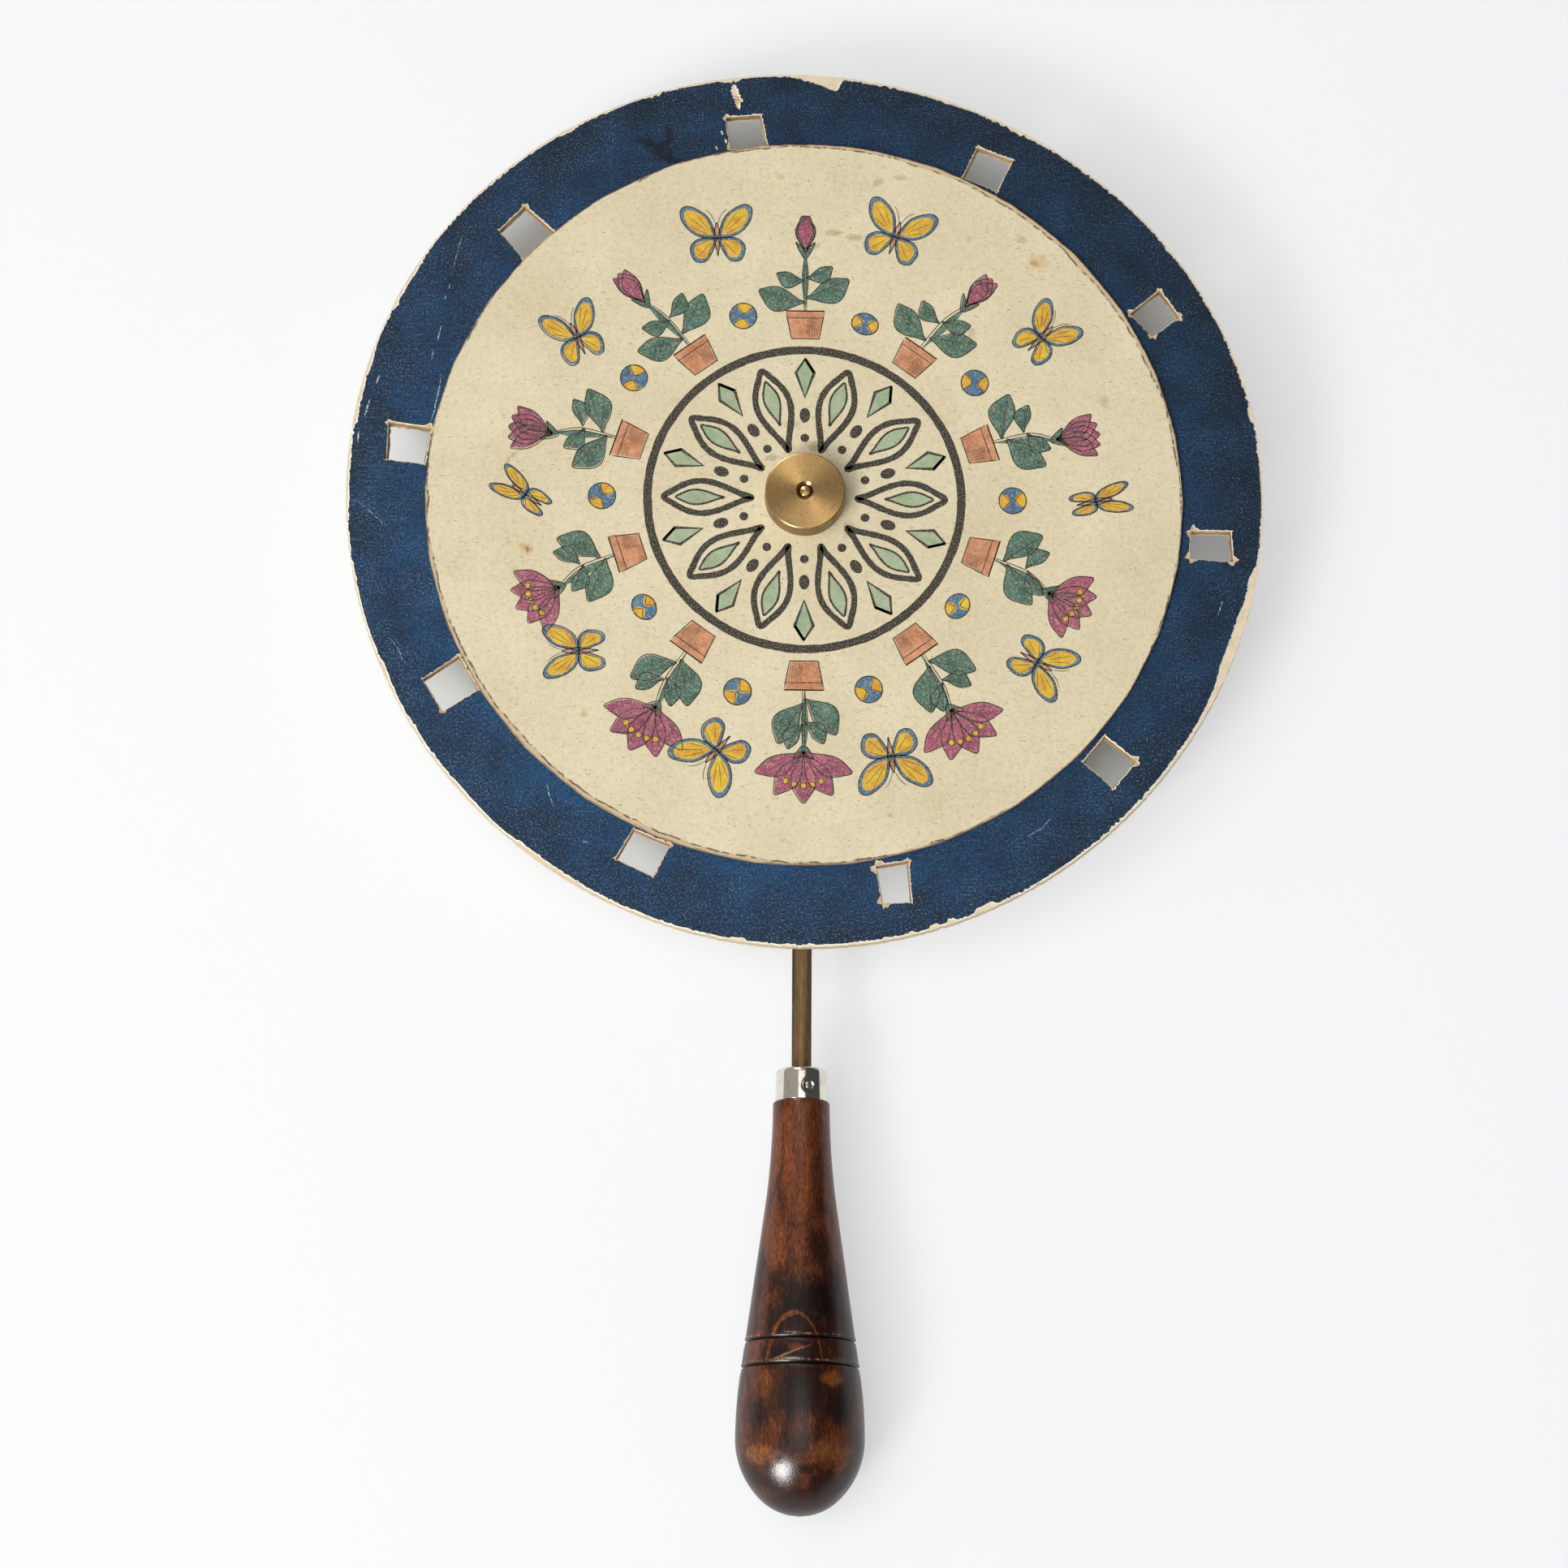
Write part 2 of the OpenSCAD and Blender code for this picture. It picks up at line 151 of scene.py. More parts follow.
def add(tree, kind, inputs=None, out=0, **settings):
    """Adds one shader node with its settings and links, and gives one of its outputs."""
    made = tree.nodes.new("ShaderNode" + kind)
    if kind == "Mix":  # every mix here is of two colours
        made.data_type, out = "RGBA", 2
    for name, value in settings.items():
        setattr(made, name, value)
    for socket, value in (inputs or {}).items():
        if isinstance(value, bpy.types.NodeSocket):
            tree.links.new(value, made.inputs[socket])
        else:
            made.inputs[socket].default_value = value
    return made.outputs[out] if made.outputs else made


def paint(code):
    """An sRGB hex colour as the linear colour that a shader takes."""
    parts = [int(code[i:i + 2], 16) / 255 for i in (1, 3, 5)]
    return [c / 12.92 if c <= 0.04045 else ((c + 0.055) / 1.055) ** 2.4 for c in parts] + [1]


def new_material(name, raised=0.0):
    """An empty material, its node tree, and the place on the piece in mm, raised along Z."""
    material = bpy.data.materials.new(name)
    material.use_nodes = True
    tree = material.node_tree
    tree.nodes.clear()
    here = add(tree, "TexCoord", out=3)
    mil = add(tree, "Mapping", {"Vector": here, "Location": (0, 0, raised), "Scale": (1000, 1000, 1000)})
    return material, tree, mil


def patch(tree, where, at, size, wander, strength=1.0, turn=0, loose=0.9, soft=0.6):
    """How much of a mark shows: its strength inside an oval, 0 outside, the edge moved by a noise."""
    place = add(tree, "Mapping", {"Vector": where, "Location": at, "Rotation": (0, 0, math.radians(turn)),
                                  "Scale": size}, vector_type="TEXTURE")
    away = add(tree, "VectorMath", {0: place}, out=1, operation="LENGTH")
    away = add(tree, "Math", {0: wander, 1: loose, 2: away}, operation="MULTIPLY_ADD")
    return add(tree, "MapRange", {0: away, 1: 1 + loose / 2, 2: 1 + loose / 2 - soft, 3: 0.0, 4: strength},
               interpolation_type="SMOOTHSTEP")


def dab(tree, tone, code, *mark, **manner):
    """Lays one mark of a colour over a tone. What follows the colour is said as for a patch."""
    return add(tree, "Mix", {0: patch(tree, *mark, **manner), 6: tone, 7: paint(code)})


def lumps(tree, where, size, detail, roughness, turn=0, shift=0):
    """Noise with lumps of one size in mm, or of one size for each of x, y and z."""
    sizes = size if isinstance(size, tuple) else (size, size, size)
    place = add(tree, "Mapping", {"Vector": where, "Location": (shift, 0, 0), "Scale": [1 / s for s in sizes],
                                  "Rotation": (0, 0, math.radians(turn))})
    return add(tree, "TexNoise", {"Vector": place, "Scale": 1.0, "Detail": detail, "Roughness": roughness})


def tint(tree, tone, pattern, low, high, strength, code, step="LINEAR"):
    """Lays a colour over a tone, more of it as a pattern's value goes from low to high."""
    amount = add(tree, "MapRange", {0: pattern, 1: low, 2: high, 3: 0.0, 4: strength}, interpolation_type=step)
    return add(tree, "Mix", {0: amount, 6: tone, 7: paint(code)})


def times(tree, tone, level):
    """A tone made darker or lighter by a level."""
    grey = add(tree, "CombineColor", {0: level, 1: level, 2: level})
    return add(tree, "Mix", {0: 1.0, 6: tone, 7: grey}, blend_type="MULTIPLY")


# Stained and varnished beech: fine short flecks of ray tissue along the handle, a red-brown
# stain that has worn to orange where fingers rub, black where it pooled, under a soft gloss.
varnished_beech, t, mil = new_material("varnished_stained_beech", -rod_z)
along = add(t, "SeparateXYZ", {0: mil}, out=1)
# growth rings 2 mm apart that wander, cut lengthways, so they show as long soft stripes
rings = lumps(t, mil, (2.2, 38, 2.2), 3.0, 0.55)
# ray flecks 0.3 mm wide and 2 mm long, twice as coarse as the real ones so that they show
flecks = lumps(t, mil, (0.30, 2.0, 0.30), 2.0, 0.6)
# worn patches 19 mm long, and the frayed edges of all marks
wear = lumps(t, mil, (7, 19, 7), 5.0, 0.62)
edge = lumps(t, mil, (1.6, 4.5, 1.6), 5.0, 0.68)
# the upper half is worn the most
upper = add(t, "MapRange", {0: along, 1: -226.0, 2: -208.0, 3: 0.0, 4: 0.13}, interpolation_type="SMOOTHSTEP")
worn = add(t, "Math", {0: wear, 1: upper}, operation="ADD")
shade = tint(t, paint("#2c130b"), worn, 0.44, 0.70, 1.0, "#6b381d", "SMOOTHSTEP")
# black pooled stain, and orange where it has rubbed through: place, half sizes, strength
for at, size, strength, code in (
        ((1.0, -228.0, 9), (12.0, 11.0, 14), 0.96, "#150c0a"), ((-6.5, -232.5, 7), (6.5, 7.5, 12), 0.9, "#190f0c"),
        ((4.5, -214.0, 8), (4.8, 9.5, 9), 0.8, "#1a0d0a"), ((4.6, -194.0, 8), (2.6, 17.0, 9), 0.6, "#200e09"),
        ((-2.0, -241.0, 12), (9.5, 3.6, 9), 0.92, "#170e0b"), ((-1.6, -253.4, 15), (6.8, 9.0, 9), 0.95, "#160e0d"),
        ((9.8, -256.0, 13), (5.4, 7.6, 9), 0.95, "#180e0a"), ((-11.5, -257.5, 12), (5.0, 6.0, 9), 0.75, "#20140e"),
        ((0.0, -281.0, 6), (17.0, 7.5, 16), 0.9, "#27100a"), ((-1.5, -284.0, 4), (2.8, 0.5, 10), 0.8, "#120907"),
        ((6.0, -233.0, -12), (9.0, 7.0, 9), 0.85, "#1a0f0c"), ((-7.0, -249.0, -14), (7.0, 8.0, 9), 0.85, "#1a0f0c"),
        ((-7.0, -212.5, 7), (3.4, 8.0, 8), 0.6, "#774020"), ((-3.4, -189.0, 8), (2.2, 15.0, 8), 0.5, "#773d1f"),
        ((-6.2, -253.0, 14), (3.6, 10.0, 9), 0.7, "#2c180f"), ((6.0, -255.5, 14), (3.6, 9.0, 9), 0.7, "#29150e"),
        ((-10.5, -268.0, 11), (6.0, 3.6, 9), 0.9, "#7c4b26"), ((7.6, -267.6, 13), (7.4, 3.6, 9), 0.8, "#734322"),
        ((0.6, -269.6, 15), (6.4, 2.4, 9), 0.7, "#683a20"), ((-9.9, -249.5, 12), (1.7, 5.6, 9), 0.75, "#74401b"),
        ((8.0, -248.3, 12), (4.0, 2.8, 9), 0.9, "#7f481f"), ((-1.2, -240.2, 14), (3.0, 1.6, 9), 0.7, "#6b361c"),
        ((3.0, -264.0, -15), (10.0, 5.0, 9), 0.8, "#8a5628")):
    shade = dab(t, shade, code, mil, at, size, edge, strength)
# a knot's figure: a thin orange arch round the dark wood over the grooves
arch = add(t, "Mapping", {"Vector": mil, "Location": (-1.9, -246.4, 14), "Scale": (7.5, 15.7, 30)},
           vector_type="TEXTURE")
arch = add(t, "Math", {0: edge, 1: 0.10, 2: add(t, "VectorMath", {0: arch}, out=1, operation="LENGTH")},
           operation="MULTIPLY_ADD")
arch = add(t, "Math", {0: add(t, "Math", {0: arch, 1: 1.05}, operation="SUBTRACT")}, operation="ABSOLUTE")
thick = add(t, "MapRange", {0: add(t, "SeparateXYZ", {0: mil}, out=0), 1: -5.0, 2: 2.0, 3: 0.075, 4: 0.035})
arch = add(t, "Math", {0: arch, 1: thick}, operation="DIVIDE")
arch = add(t, "MapRange", {0: arch, 1: 1.0, 2: 0.4, 3: 0.0, 4: 0.8}, interpolation_type="SMOOTHSTEP")
front = add(t, "MapRange", {0: add(t, "SeparateXYZ", {0: mil}, out=2), 1: 3.0, 2: 6.0, 3: 0.0, 4: 1.0})
above = add(t, "MapRange", {0: along, 1: -248.0, 2: -242.0, 3: 0.0, 4: 1.0})
broken = add(t, "MapRange", {0: edge, 1: 0.38, 2: 0.58, 3: 0.25, 4: 1.0})
for limit in (front, above, broken):
    arch = add(t, "Math", {0: arch, 1: limit}, operation="MULTIPLY")
shade = add(t, "Mix", {0: arch, 6: shade, 7: paint("#82441f")})
# the stripes of the rings, and the flecks, dark ones and pale ones
shade = times(t, shade, add(t, "MapRange", {0: rings, 1: 0.35, 2: 0.65, 3: 0.78, 4: 1.18}))
shade = times(t, shade, add(t, "MapRange", {0: flecks, 1: 0.34, 2: 0.66, 3: 1.55, 4: 0.42}))
# nearly black painted shade in the two grooves, with a pale broken burr along their upper lips, and
# a scar that runs slantwise between them
for g in grooves:
    off = add(t, "Math", {0: along, 1: g - shoulder_y}, operation="ADD")
    beyond = add(t, "Math", {0: off}, operation="ABSOLUTE")
    shade = tint(t, shade, beyond, 0.75, 0.35, 0.92, "#0f0907", "SMOOTHSTEP")
    lip = add(t, "Math", {0: add(t, "Math", {0: off, 1: 0.85}, operation="SUBTRACT")}, operation="ABSOLUTE")
    burr = add(t, "MapRange", {0: lip, 1: 0.32, 2: 0.12, 3: 0.0, 4: 1.0})
    whole = add(t, "MapRange", {0: edge, 1: 0.50, 2: 0.62, 3: 0.0, 4: 0.65})
    burr = add(t, "Math", {0: burr, 1: whole}, operation="MULTIPLY")
    shade = add(t, "Mix", {0: burr, 6: shade, 7: paint("#b48a66")})
for at, size, strength, code in (((-3.0, -241.6, 12), (6.4, 0.65, 12), 0.75, "#a67c58"),
                                 ((-1.6, -241.4, 12), (5.4, 0.50, 12), 0.97, "#0e0807")):
    shade = dab(t, shade, code, mil, at, size, flecks, strength, turn=20, loose=1.6)
grain = add(t, "Math", {0: rings, 1: flecks}, operation="SUBTRACT")
relief = add(t, "Bump", {"Strength": 0.6, "Distance": 0.00007, "Height": grain})
film = add(t, "Math", {0: wear, 1: 1.5, 2: flecks}, operation="MULTIPLY_ADD")
film = add(t, "Bump", {"Strength": 0.7, "Distance": 0.00007, "Height": film})
gloss = add(t, "MapRange", {0: wear, 1: 0.3, 2: 0.7, 3: 0.34, 4: 0.48})
surface = add(t, "BsdfPrincipled", {"Base Color": shade, "Roughness": gloss, "Normal": relief, "IOR": 1.5,
                                    "Specular IOR Level": 0.0, "Coat Weight": 0.7, "Coat Roughness": 0.23,
                                    "Coat Normal": film})
add(t, "OutputMaterial", {0: surface})
handle.data.materials.append(varnished_beech)
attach(handle, "handle_set")
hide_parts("handle")


# Ferrule: a drawn cup of nickel-plated brass pushed over the handle's tenon. Its lip is
# flared a little, and a punched dimple holds the pin that keeps it from coming off.
ferrule_r, lip_r, wall, corner, burnish = 7.0, 7.25, 0.6, 1.2, 0.08
dimple_s, dimple_a, dimple_r, dimple_depth = -3.8, 16, 1.65, 0.6
sides = [(ferrule_r + (lip_r - ferrule_r) * i / 30, corner - ferrule_l + (ferrule_l - corner) * i / 30)
         for i in range(31)]
profile = [(bore_r, burnish - ferrule_l), (bore_r + burnish, -ferrule_l)]
profile += arc((ferrule_r - corner, corner - ferrule_l), corner, -90, 0, 10)
profile += sides[1:-1] + [(lip_r - 0.02, -0.1), (lip_r - 0.1, 0), (lip_r - wall + burnish, 0), (lip_r - wall, -0.1)]
profile += [(r - wall, s) for r, s in reversed(sides[3:-1:3])]
profile += arc((ferrule_r - corner, corner - ferrule_l), corner - wall, 0, -90, 6)
profile += [(bore_r, wall - ferrule_l), (bore_r, burnish - ferrule_l)]
bm = lathe(profile, 220)
out = Vector((math.sin(math.radians(dimple_a)), math.cos(math.radians(dimple_a))))
for vert in bm.verts:
    x, y, s = (c / mm for c in vert.co)
    front = Vector((x, y)).dot(out)
    aside = out.x * y - out.y * x
    away = math.hypot(aside, s - dimple_s)
    if front > 0 and away < 1.35 * dimple_r and math.hypot(x, y) > 5.5 and s > -7.9:
        # a rounded rim, then the cup that the punch left
        cup = max(0.0, 1 - (away / dimple_r) ** 2) * dimple_depth
        roll = 0.10 * math.exp(-((away - 1.12 * dimple_r) / (0.2 * dimple_r)) ** 2)
        inward = Vector((out.x, out.y, 0)) * (cup + roll)
        vert.co -= inward * mm
onto_handle(bm)
ferrule = piece_of("drawn_ferrule", bm, 40)

# Bright nickel plate: a clean mirror with hair scratches round it and a little grey tarnish
nickel, t, mil = new_material("bright_nickel_plate")
hairs = lumps(t, mil, (6, 0.12, 6), 3.0, 0.7)
haze = lumps(t, mil, 2.5, 6.0, 0.65)
tone = tint(t, paint("#e6e0d4"), haze, 0.45, 0.72, 0.5, "#b3ab9b", "SMOOTHSTEP")
dull = add(t, "MapRange", {0: haze, 1: 0.3, 2: 0.7, 3: 0.06, 4: 0.16})
fine = add(t, "Bump", {"Strength": 0.25, "Distance": 0.00001, "Height": hairs})
surface = add(t, "BsdfPrincipled", {"Base Color": tone, "Metallic": 1.0, "Roughness": dull, "Normal": fine})
add(t, "OutputMaterial", {0: surface})
ferrule.data.materials.append(nickel)
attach(ferrule, "handle_set")
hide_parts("ferrule")


# Ferrule pin: a small plain steel brad driven through the dimple into the tenon.
# Its head is a little domed from the punch that set it.
pin_a = math.radians(dimple_a)
head_r, pin_l = 0.85, 3.2
profile = [(0, -pin_l), (0.5, 1 - pin_l), (0.5, 0), (head_r, 0), (head_r, 0.12), (0.72, 0.22), (0.4, 0.28), (0, 0.3)]
bm = lathe(profile, 40)
# the head stands on the slope of the dimple, in a cup that is 7.145 mm in radius there
seat_r = 7.145 - dimple_depth + (head_r ** 2) / (dimple_r ** 2) * dimple_depth
bm.transform(Matrix.Translation((0, (shoulder_y - dimple_s) * mm, rod_z * mm))
             @ Matrix.Rotation(pin_a, 4, "Y") @ Matrix.Translation((0, 0, seat_r * mm)))
pin = piece_of("ferrule_brad", bm, 35)

# Bare steel: grey, lightly pitted, with brown in the pits
bare_steel, t, mil = new_material("bare_steel")
pits = lumps(t, mil, 0.3, 4.0, 0.7)
tone = tint(t, paint("#a7a39b"), pits, 0.5, 0.7, 0.7, "#5d4a3a", "SMOOTHSTEP")
surface = add(t, "BsdfPrincipled", {"Base Color": tone, "Metallic": 1.0, "Roughness": 0.32,
                                    "Normal": add(t, "Bump", {"Strength": 0.4, "Distance": 0.00004, "Height": pits})})
add(t, "OutputMaterial", {0: surface})
pin.data.materials.append(bare_steel)
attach(pin, "handle_set")
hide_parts("ferrule_pin")


# Rod: drawn brass, flattened and bored at the top to make the eye that the spindle turns
# in, and driven into the handle at the other end. It has never been cleaned.
def smoothed_copy(name, node, sharp):
    """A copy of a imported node's mesh, with its loose triangles merged and its curves smooth."""
    bm = bmesh.new()
    bm.from_mesh(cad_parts[node].data)
    bmesh.ops.remove_doubles(bm, verts=bm.verts, dist=0.0005 * mm)
    return piece_of(name, bm, sharp)


rod = smoothed_copy("brass_rod", "rod", 28)

# Brown patina on brass: dull brown, a little darker in fine lengthwise draw marks, with painted
# shade, nearly black, down both sides and a thin painted highlight along the front.
patina_and_painted_light, t, mil = new_material("brown_patina_and_painted_light_on_brass", -rod_z)
drawn = lumps(t, mil, (0.5, 60, 0.5), 3.0, 0.6)
spots = lumps(t, mil, (1.4, 5, 1.4), 5.0, 0.6)
tone = tint(t, paint("#84694a"), spots, 0.36, 0.68, 0.7, "#5a4731")
tone = tint(t, tone, drawn, 0.46, 0.68, 0.55, "#43341f")
# painted shade down both sides and a painted highlight along the front: place, half sizes, strength, looseness of the
# edge, colour
for at, size, strength, loose, code in (((-2.4, -120.0, 0.0), (1.7, 80.0, 3.4), 0.98, 0.5, "#1c1510"),
                                        ((2.5, -120.0, 0.0), (1.3, 80.0, 3.4), 0.92, 0.5, "#1c1510"),
                                        ((1.0, -120.0, 2.7), (0.5, 60.0, 1.0), 0.5, 0.6, "#a18a68")):
    tone = dab(t, tone, code, mil, at, size, drawn, strength, loose=loose, soft=0.9)
mark = add(t, "Bump", {"Strength": 0.4, "Distance": 0.00003, "Height": drawn})
surface = add(t, "BsdfPrincipled", {"Base Color": tone, "Metallic": 0.45, "Normal": mark, "Specular IOR Level": 0.0,
                                    "Roughness": add(t, "MapRange", {0: spots, 1: 0.3, 2: 0.7, 3: 0.36, 4: 0.48})})
add(t, "OutputMaterial", {0: surface})
rod.data.materials.clear()
rod.data.materials.append(patina_and_painted_light)
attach(rod, "handle_set")
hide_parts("rod")


# Spindle: turned brass. A flange backs the discs and a spigot centres them; the front end
# is threaded for the nut, and the back end runs in the eye and is riveted over its washer.
flange_r, journal_r, spigot_r, stub_r, rivet_r = 8.0, 2.5, 3.0, 1.7, 5.3
core_r, thread_r, pitch = 1.52, 1.9, 0.7
disc_back, flange_back, washer_z, stub_z = -2.8, -3.85, -7.95, -8.45
spigot_z, tip_z = 1.0, 8.0
rivet = arc((0, stub_z - 0.8 + rivet_r), rivet_r, -58, -90, 8)
rivet = [(r, z) for r, z in rivet if r <= 2.8]
profile = [(0, tip_z), (1.0, tip_z - 0.02), (1.35, tip_z - 0.12), (core_r, tip_z - 0.32), (core_r, spigot_z)]
profile += [(spigot_r - 0.15, spigot_z), (spigot_r, spigot_z - 0.15), (spigot_r, disc_back)]
profile += [(flange_r - 0.2, disc_back), (flange_r, disc_back - 0.2), (flange_r, flange_back + 0.2),
            (flange_r - 0.2, flange_back), (journal_r, flange_back), (journal_r, washer_z),
            (stub_r, washer_z), (stub_r, stub_z)]
profile += rivet
bm = lathe(profile, 96)
# the thread is a ridge wound up the core, one turn for each pitch
turns = int((tip_z - spigot_z - 0.9) / pitch)
start_z = spigot_z + 0.35
ridge = [bm.verts.new((r * mm, 0, (start_z + h) * mm))
         for r, h in ((core_r - 0.05, -0.31), (thread_r, -0.05), (thread_r, 0.05), (core_r - 0.05, 0.31))]
ring = [bm.edges.new(pair) for pair in zip(ridge, ridge[1:] + ridge[:1])]
cap = bm.faces.new(ridge)
bmesh.ops.spin(bm, geom=ridge + ring + [cap], cent=(0, 0, 0), axis=(0, 0, 1),
               dvec=(0, 0, pitch * mm / 32), angle=math.tau * turns, steps=32 * turns)
bmesh.ops.recalc_face_normals(bm, faces=bm.faces)
spindle = piece_of("turned_spindle", bm, 32)


def off_axis(tree, where, centre=(0, 0)):
    """Distance from an axis along Z, in mm."""
    flat = add(tree, "Mapping", {"Vector": where, "Location": (-centre[0], -centre[1], 0), "Scale": (1, 1, 0)})
    return add(tree, "VectorMath", {0: flat}, out=1, operation="LENGTH")


# Turned brass: warm yellow, with tool rings round the axis a third of a millimetre apart and
# a thin brown bloom. The rings stretch the highlight into two bright lobes on a flat face.
turned_brass, t, mil = new_material("lathe_turned_brass")
rings = lumps(t, add(t, "CombineXYZ", {0: off_axis(t, mil)}), 1 / 6, 4.0, 0.7)
bloom = lumps(t, mil, 1 / 0.55, 6.0, 0.68)
specks = lumps(t, mil, 1 / 2.6, 3.0, 0.6)
tone = tint(t, paint("#d2ae78"), bloom, 0.35, 0.68, 0.8, "#ad8a58")
tone = tint(t, tone, specks, 0.54, 0.66, 0.6, "#6b5332")
tone = tint(t, tone, rings, 0.42, 0.66, 0.5, "#8f7045")
# the face is rubbed clean by fingers; below it the sides and the back are painted dull and olive,
# as tarnish and as painted shade on the side wall
tone = tint(t, tone, add(t, "SeparateXYZ", {0: mil}, out=2), 7.85, 7.45, 0.7, "#665b41")
tool_marks = add(t, "Bump", {"Strength": 0.5, "Distance": 0.00003, "Height": rings})
surface = add(t, "BsdfPrincipled", {"Base Color": tone, "Metallic": 1.0, "Normal": tool_marks,
                                    "Anisotropic": 0.66, "Anisotropic Rotation": 0.25,
                                    "Roughness": add(t, "MapRange", {0: bloom, 1: 0.3, 2: 0.7, 3: 0.26, 4: 0.38}),
                                    "Tangent": add(t, "Tangent", axis="Z", direction_type="RADIAL")})
add(t, "OutputMaterial", {0: surface})
spindle.data.materials.append(turned_brass)
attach(spindle, "disc_set")
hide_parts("spindle")


# Rear washer: a plain turned brass ring under the riveted end, its edges just broken.
washer_r, washer_hole_r, broken = 4.5, 1.75, 0.05
profile = [(washer_hole_r, stub_z + broken), (washer_hole_r + broken, stub_z), (washer_r - broken, stub_z),
           (washer_r, stub_z + 0.06), (washer_r, washer_z - 0.06), (washer_r - broken, washer_z),
           (washer_hole_r + broken, washer_z), (washer_hole_r, washer_z - broken), (washer_hole_r, stub_z + broken)]
washer = piece_of("riveted_washer", lathe(profile, 72), 40)
washer.data.materials.append(turned_brass)
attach(washer, "disc_set")
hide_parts("rear_washer")


# Board of the slotted disc: rag pasteboard built up of pasted sheets, cut round with shears
# and its ten slots cut out with a knife, so that the walls lean and show the brown core.
disc_r = 130
board_top, board_back = -0.2, -2.6
hole_r = 3.1
waves = ((1.1, 90), (0.5, -70), (0.9, 60), (0.3, 60))
# each slot's four corners about the middle of the ring of slots, as (radius, angle)
ring_centre = (0.02, 1.08)
corner_angles = (
    ((117.7, 101.5), (117.0, 96.4), (107.0, 95.9), (107.4, 101.8)),
    ((118.1, 65.1), (119.4, 59.8), (108.3, 59.3), (107.4, 65.1)),
    ((120.2, 32.0), (121.1, 27.2), (111.0, 26.3), (108.7, 31.2)),
    ((109.8, 355.4), (121.2, 355.8), (122.8, 351.5), (110.2, 351.0)),
    ((108.9, 320.6), (120.5, 320.6), (120.9, 315.6), (109.4, 315.3)),
    ((109.0, 280.6), (109.6, 285.5), (121.4, 284.4), (120.0, 280.5)),
    ((108.1, 244.2), (108.1, 250.2), (118.6, 249.6), (118.1, 243.9)),
    ((107.7, 206.4), (107.5, 212.6), (119.6, 212.7), (120.0, 207.3)),
    ((120.1, 170.0), (107.5, 169.7), (107.7, 175.7), (118.8, 175.5)),
    ((118.8, 132.9), (106.7, 132.3), (107.3, 139.0), (118.6, 138.1)),
)


def polar(radius, degrees, centre=(0, 0)):
    """A point at a radius and an angle about a centre."""
    a = math.radians(degrees)
    return (centre[0] + radius * math.cos(a), centre[1] + radius * math.sin(a))


slots = [[polar(r, a, ring_centre) for r, a in corners] for corners in corner_angles]


def rim(degrees):
    """Radius of the hand-cut rim, with its slow waves."""
    return disc_r + sum(h * math.cos(math.radians((k + 1) * degrees - p)) for k, (h, p) in enumerate(waves))


def ragged(corners, grow, jag, lump, seed, overcut=0.0, bites=()):
    """The outline of a knife-cut opening: its sides set back and frayed, and its corners
    overcut by the knife or bitten out where the paper tore."""
    middle = sum((Vector(p) for p in corners), Vector((0, 0))) / 4
    count = len(corners)
    # the corners again, after every side has been moved out by grow
    moved = []
    for i, corner in enumerate(corners):
        before = (Vector(corner) - Vector(corners[i - 1])).normalized()
        after = (Vector(corners[(i + 1) % count]) - Vector(corner)).normalized()
        moved.append(Vector(corner) + (before - after) * grow)
    points = []
    for i in range(count):
        a, b = moved[i], moved[(i + 1) % count]
        way = (b - a).normalized()
        side = Vector((way.y, -way.x))
        side *= 1 if side.dot(a - middle) > 0 else -1
        steps = max(6, int((b - a).length / 0.38))
        for j in range(1 if overcut else 0, steps):
            p = a.lerp(b, j / steps)
            ease = min(1.0, j / 2, (steps - j) / 2)
            fray = jag * (rough(p, lump, seed) + 0.6 * rough(p, lump / 3, seed + 4)) * ease
            for at, size in bites:
                away = (p - moved[at]).length / (1.5 * size)
                if away < 1:
                    fray += size * (1 - away ** 2) * (0.75 + 0.5 * rough(p, 0.7, seed + 6))
            points.append(p + side * fray)
        if overcut:
            points += [b, b + way * overcut * (0.7 + 0.5 * rough(b, 2, seed + 9))]
    return points


def sheet(name, top, back, outline, holes, slopes, sharp=20):
    """Fills an outline less its holes and gives it a thickness. Each wall slopes out from
    under the front by its own amount, and takes the second material."""
    bm = bmesh.new()
    mark = bm.verts.layers.int.new("mark")
    edges, moves = [], []
    for number, loop in enumerate([outline] + holes):
        turn = sum(a[0] * b[1] - b[0] * a[1] for a, b in zip(loop, loop[1:] + loop[:1]))
        off = 1 if (turn > 0) == (number == 0) else -1
        slope = slopes[number]
        verts = []
        for i, p in enumerate(loop):
            vert = bm.verts.new((p[0] * mm, p[1] * mm, top * mm))
            vert[mark] = len(moves)
            before, after = Vector(loop[i - 1]), Vector(loop[(i + 1) % len(loop)])
            way = (after - before).normalized()
            amount = off * slope * (0.8 + 0.6 * rough(p, 1.4, number * 3.0))
            moves.append(Vector((way.y, -way.x)) * amount * mm)
            verts.append(vert)
        edges += [bm.edges.new(pair) for pair in zip(verts, verts[1:] + verts[:1])]
    bmesh.ops.triangle_fill(bm, use_beauty=True, use_dissolve=False, edges=edges, normal=(0, 0, 1))
    grown = bmesh.ops.extrude_face_region(bm, geom=bm.faces[:], use_keep_orig=True)
    for vert in (g for g in grown["geom"] if isinstance(g, bmesh.types.BMVert)):
        move = moves[vert[mark]]
        vert.co = (vert.co.x + move.x, vert.co.y + move.y, back * mm)
    bmesh.ops.recalc_face_normals(bm, faces=bm.faces)
    for face in bm.faces:
        heights = [vert.co.z for vert in face.verts]
        face.material_index = 1 if max(heights) - min(heights) > 0.01 * mm else 0
    return piece_of(name, bm, sharp)


def spindle_hole(seed):
    """The hole punched for the spindle, a little torn."""
    return [polar(hole_r + 0.04 * rough(polar(3, a), 0.8, seed), a) for a in range(0, 360, 5)]


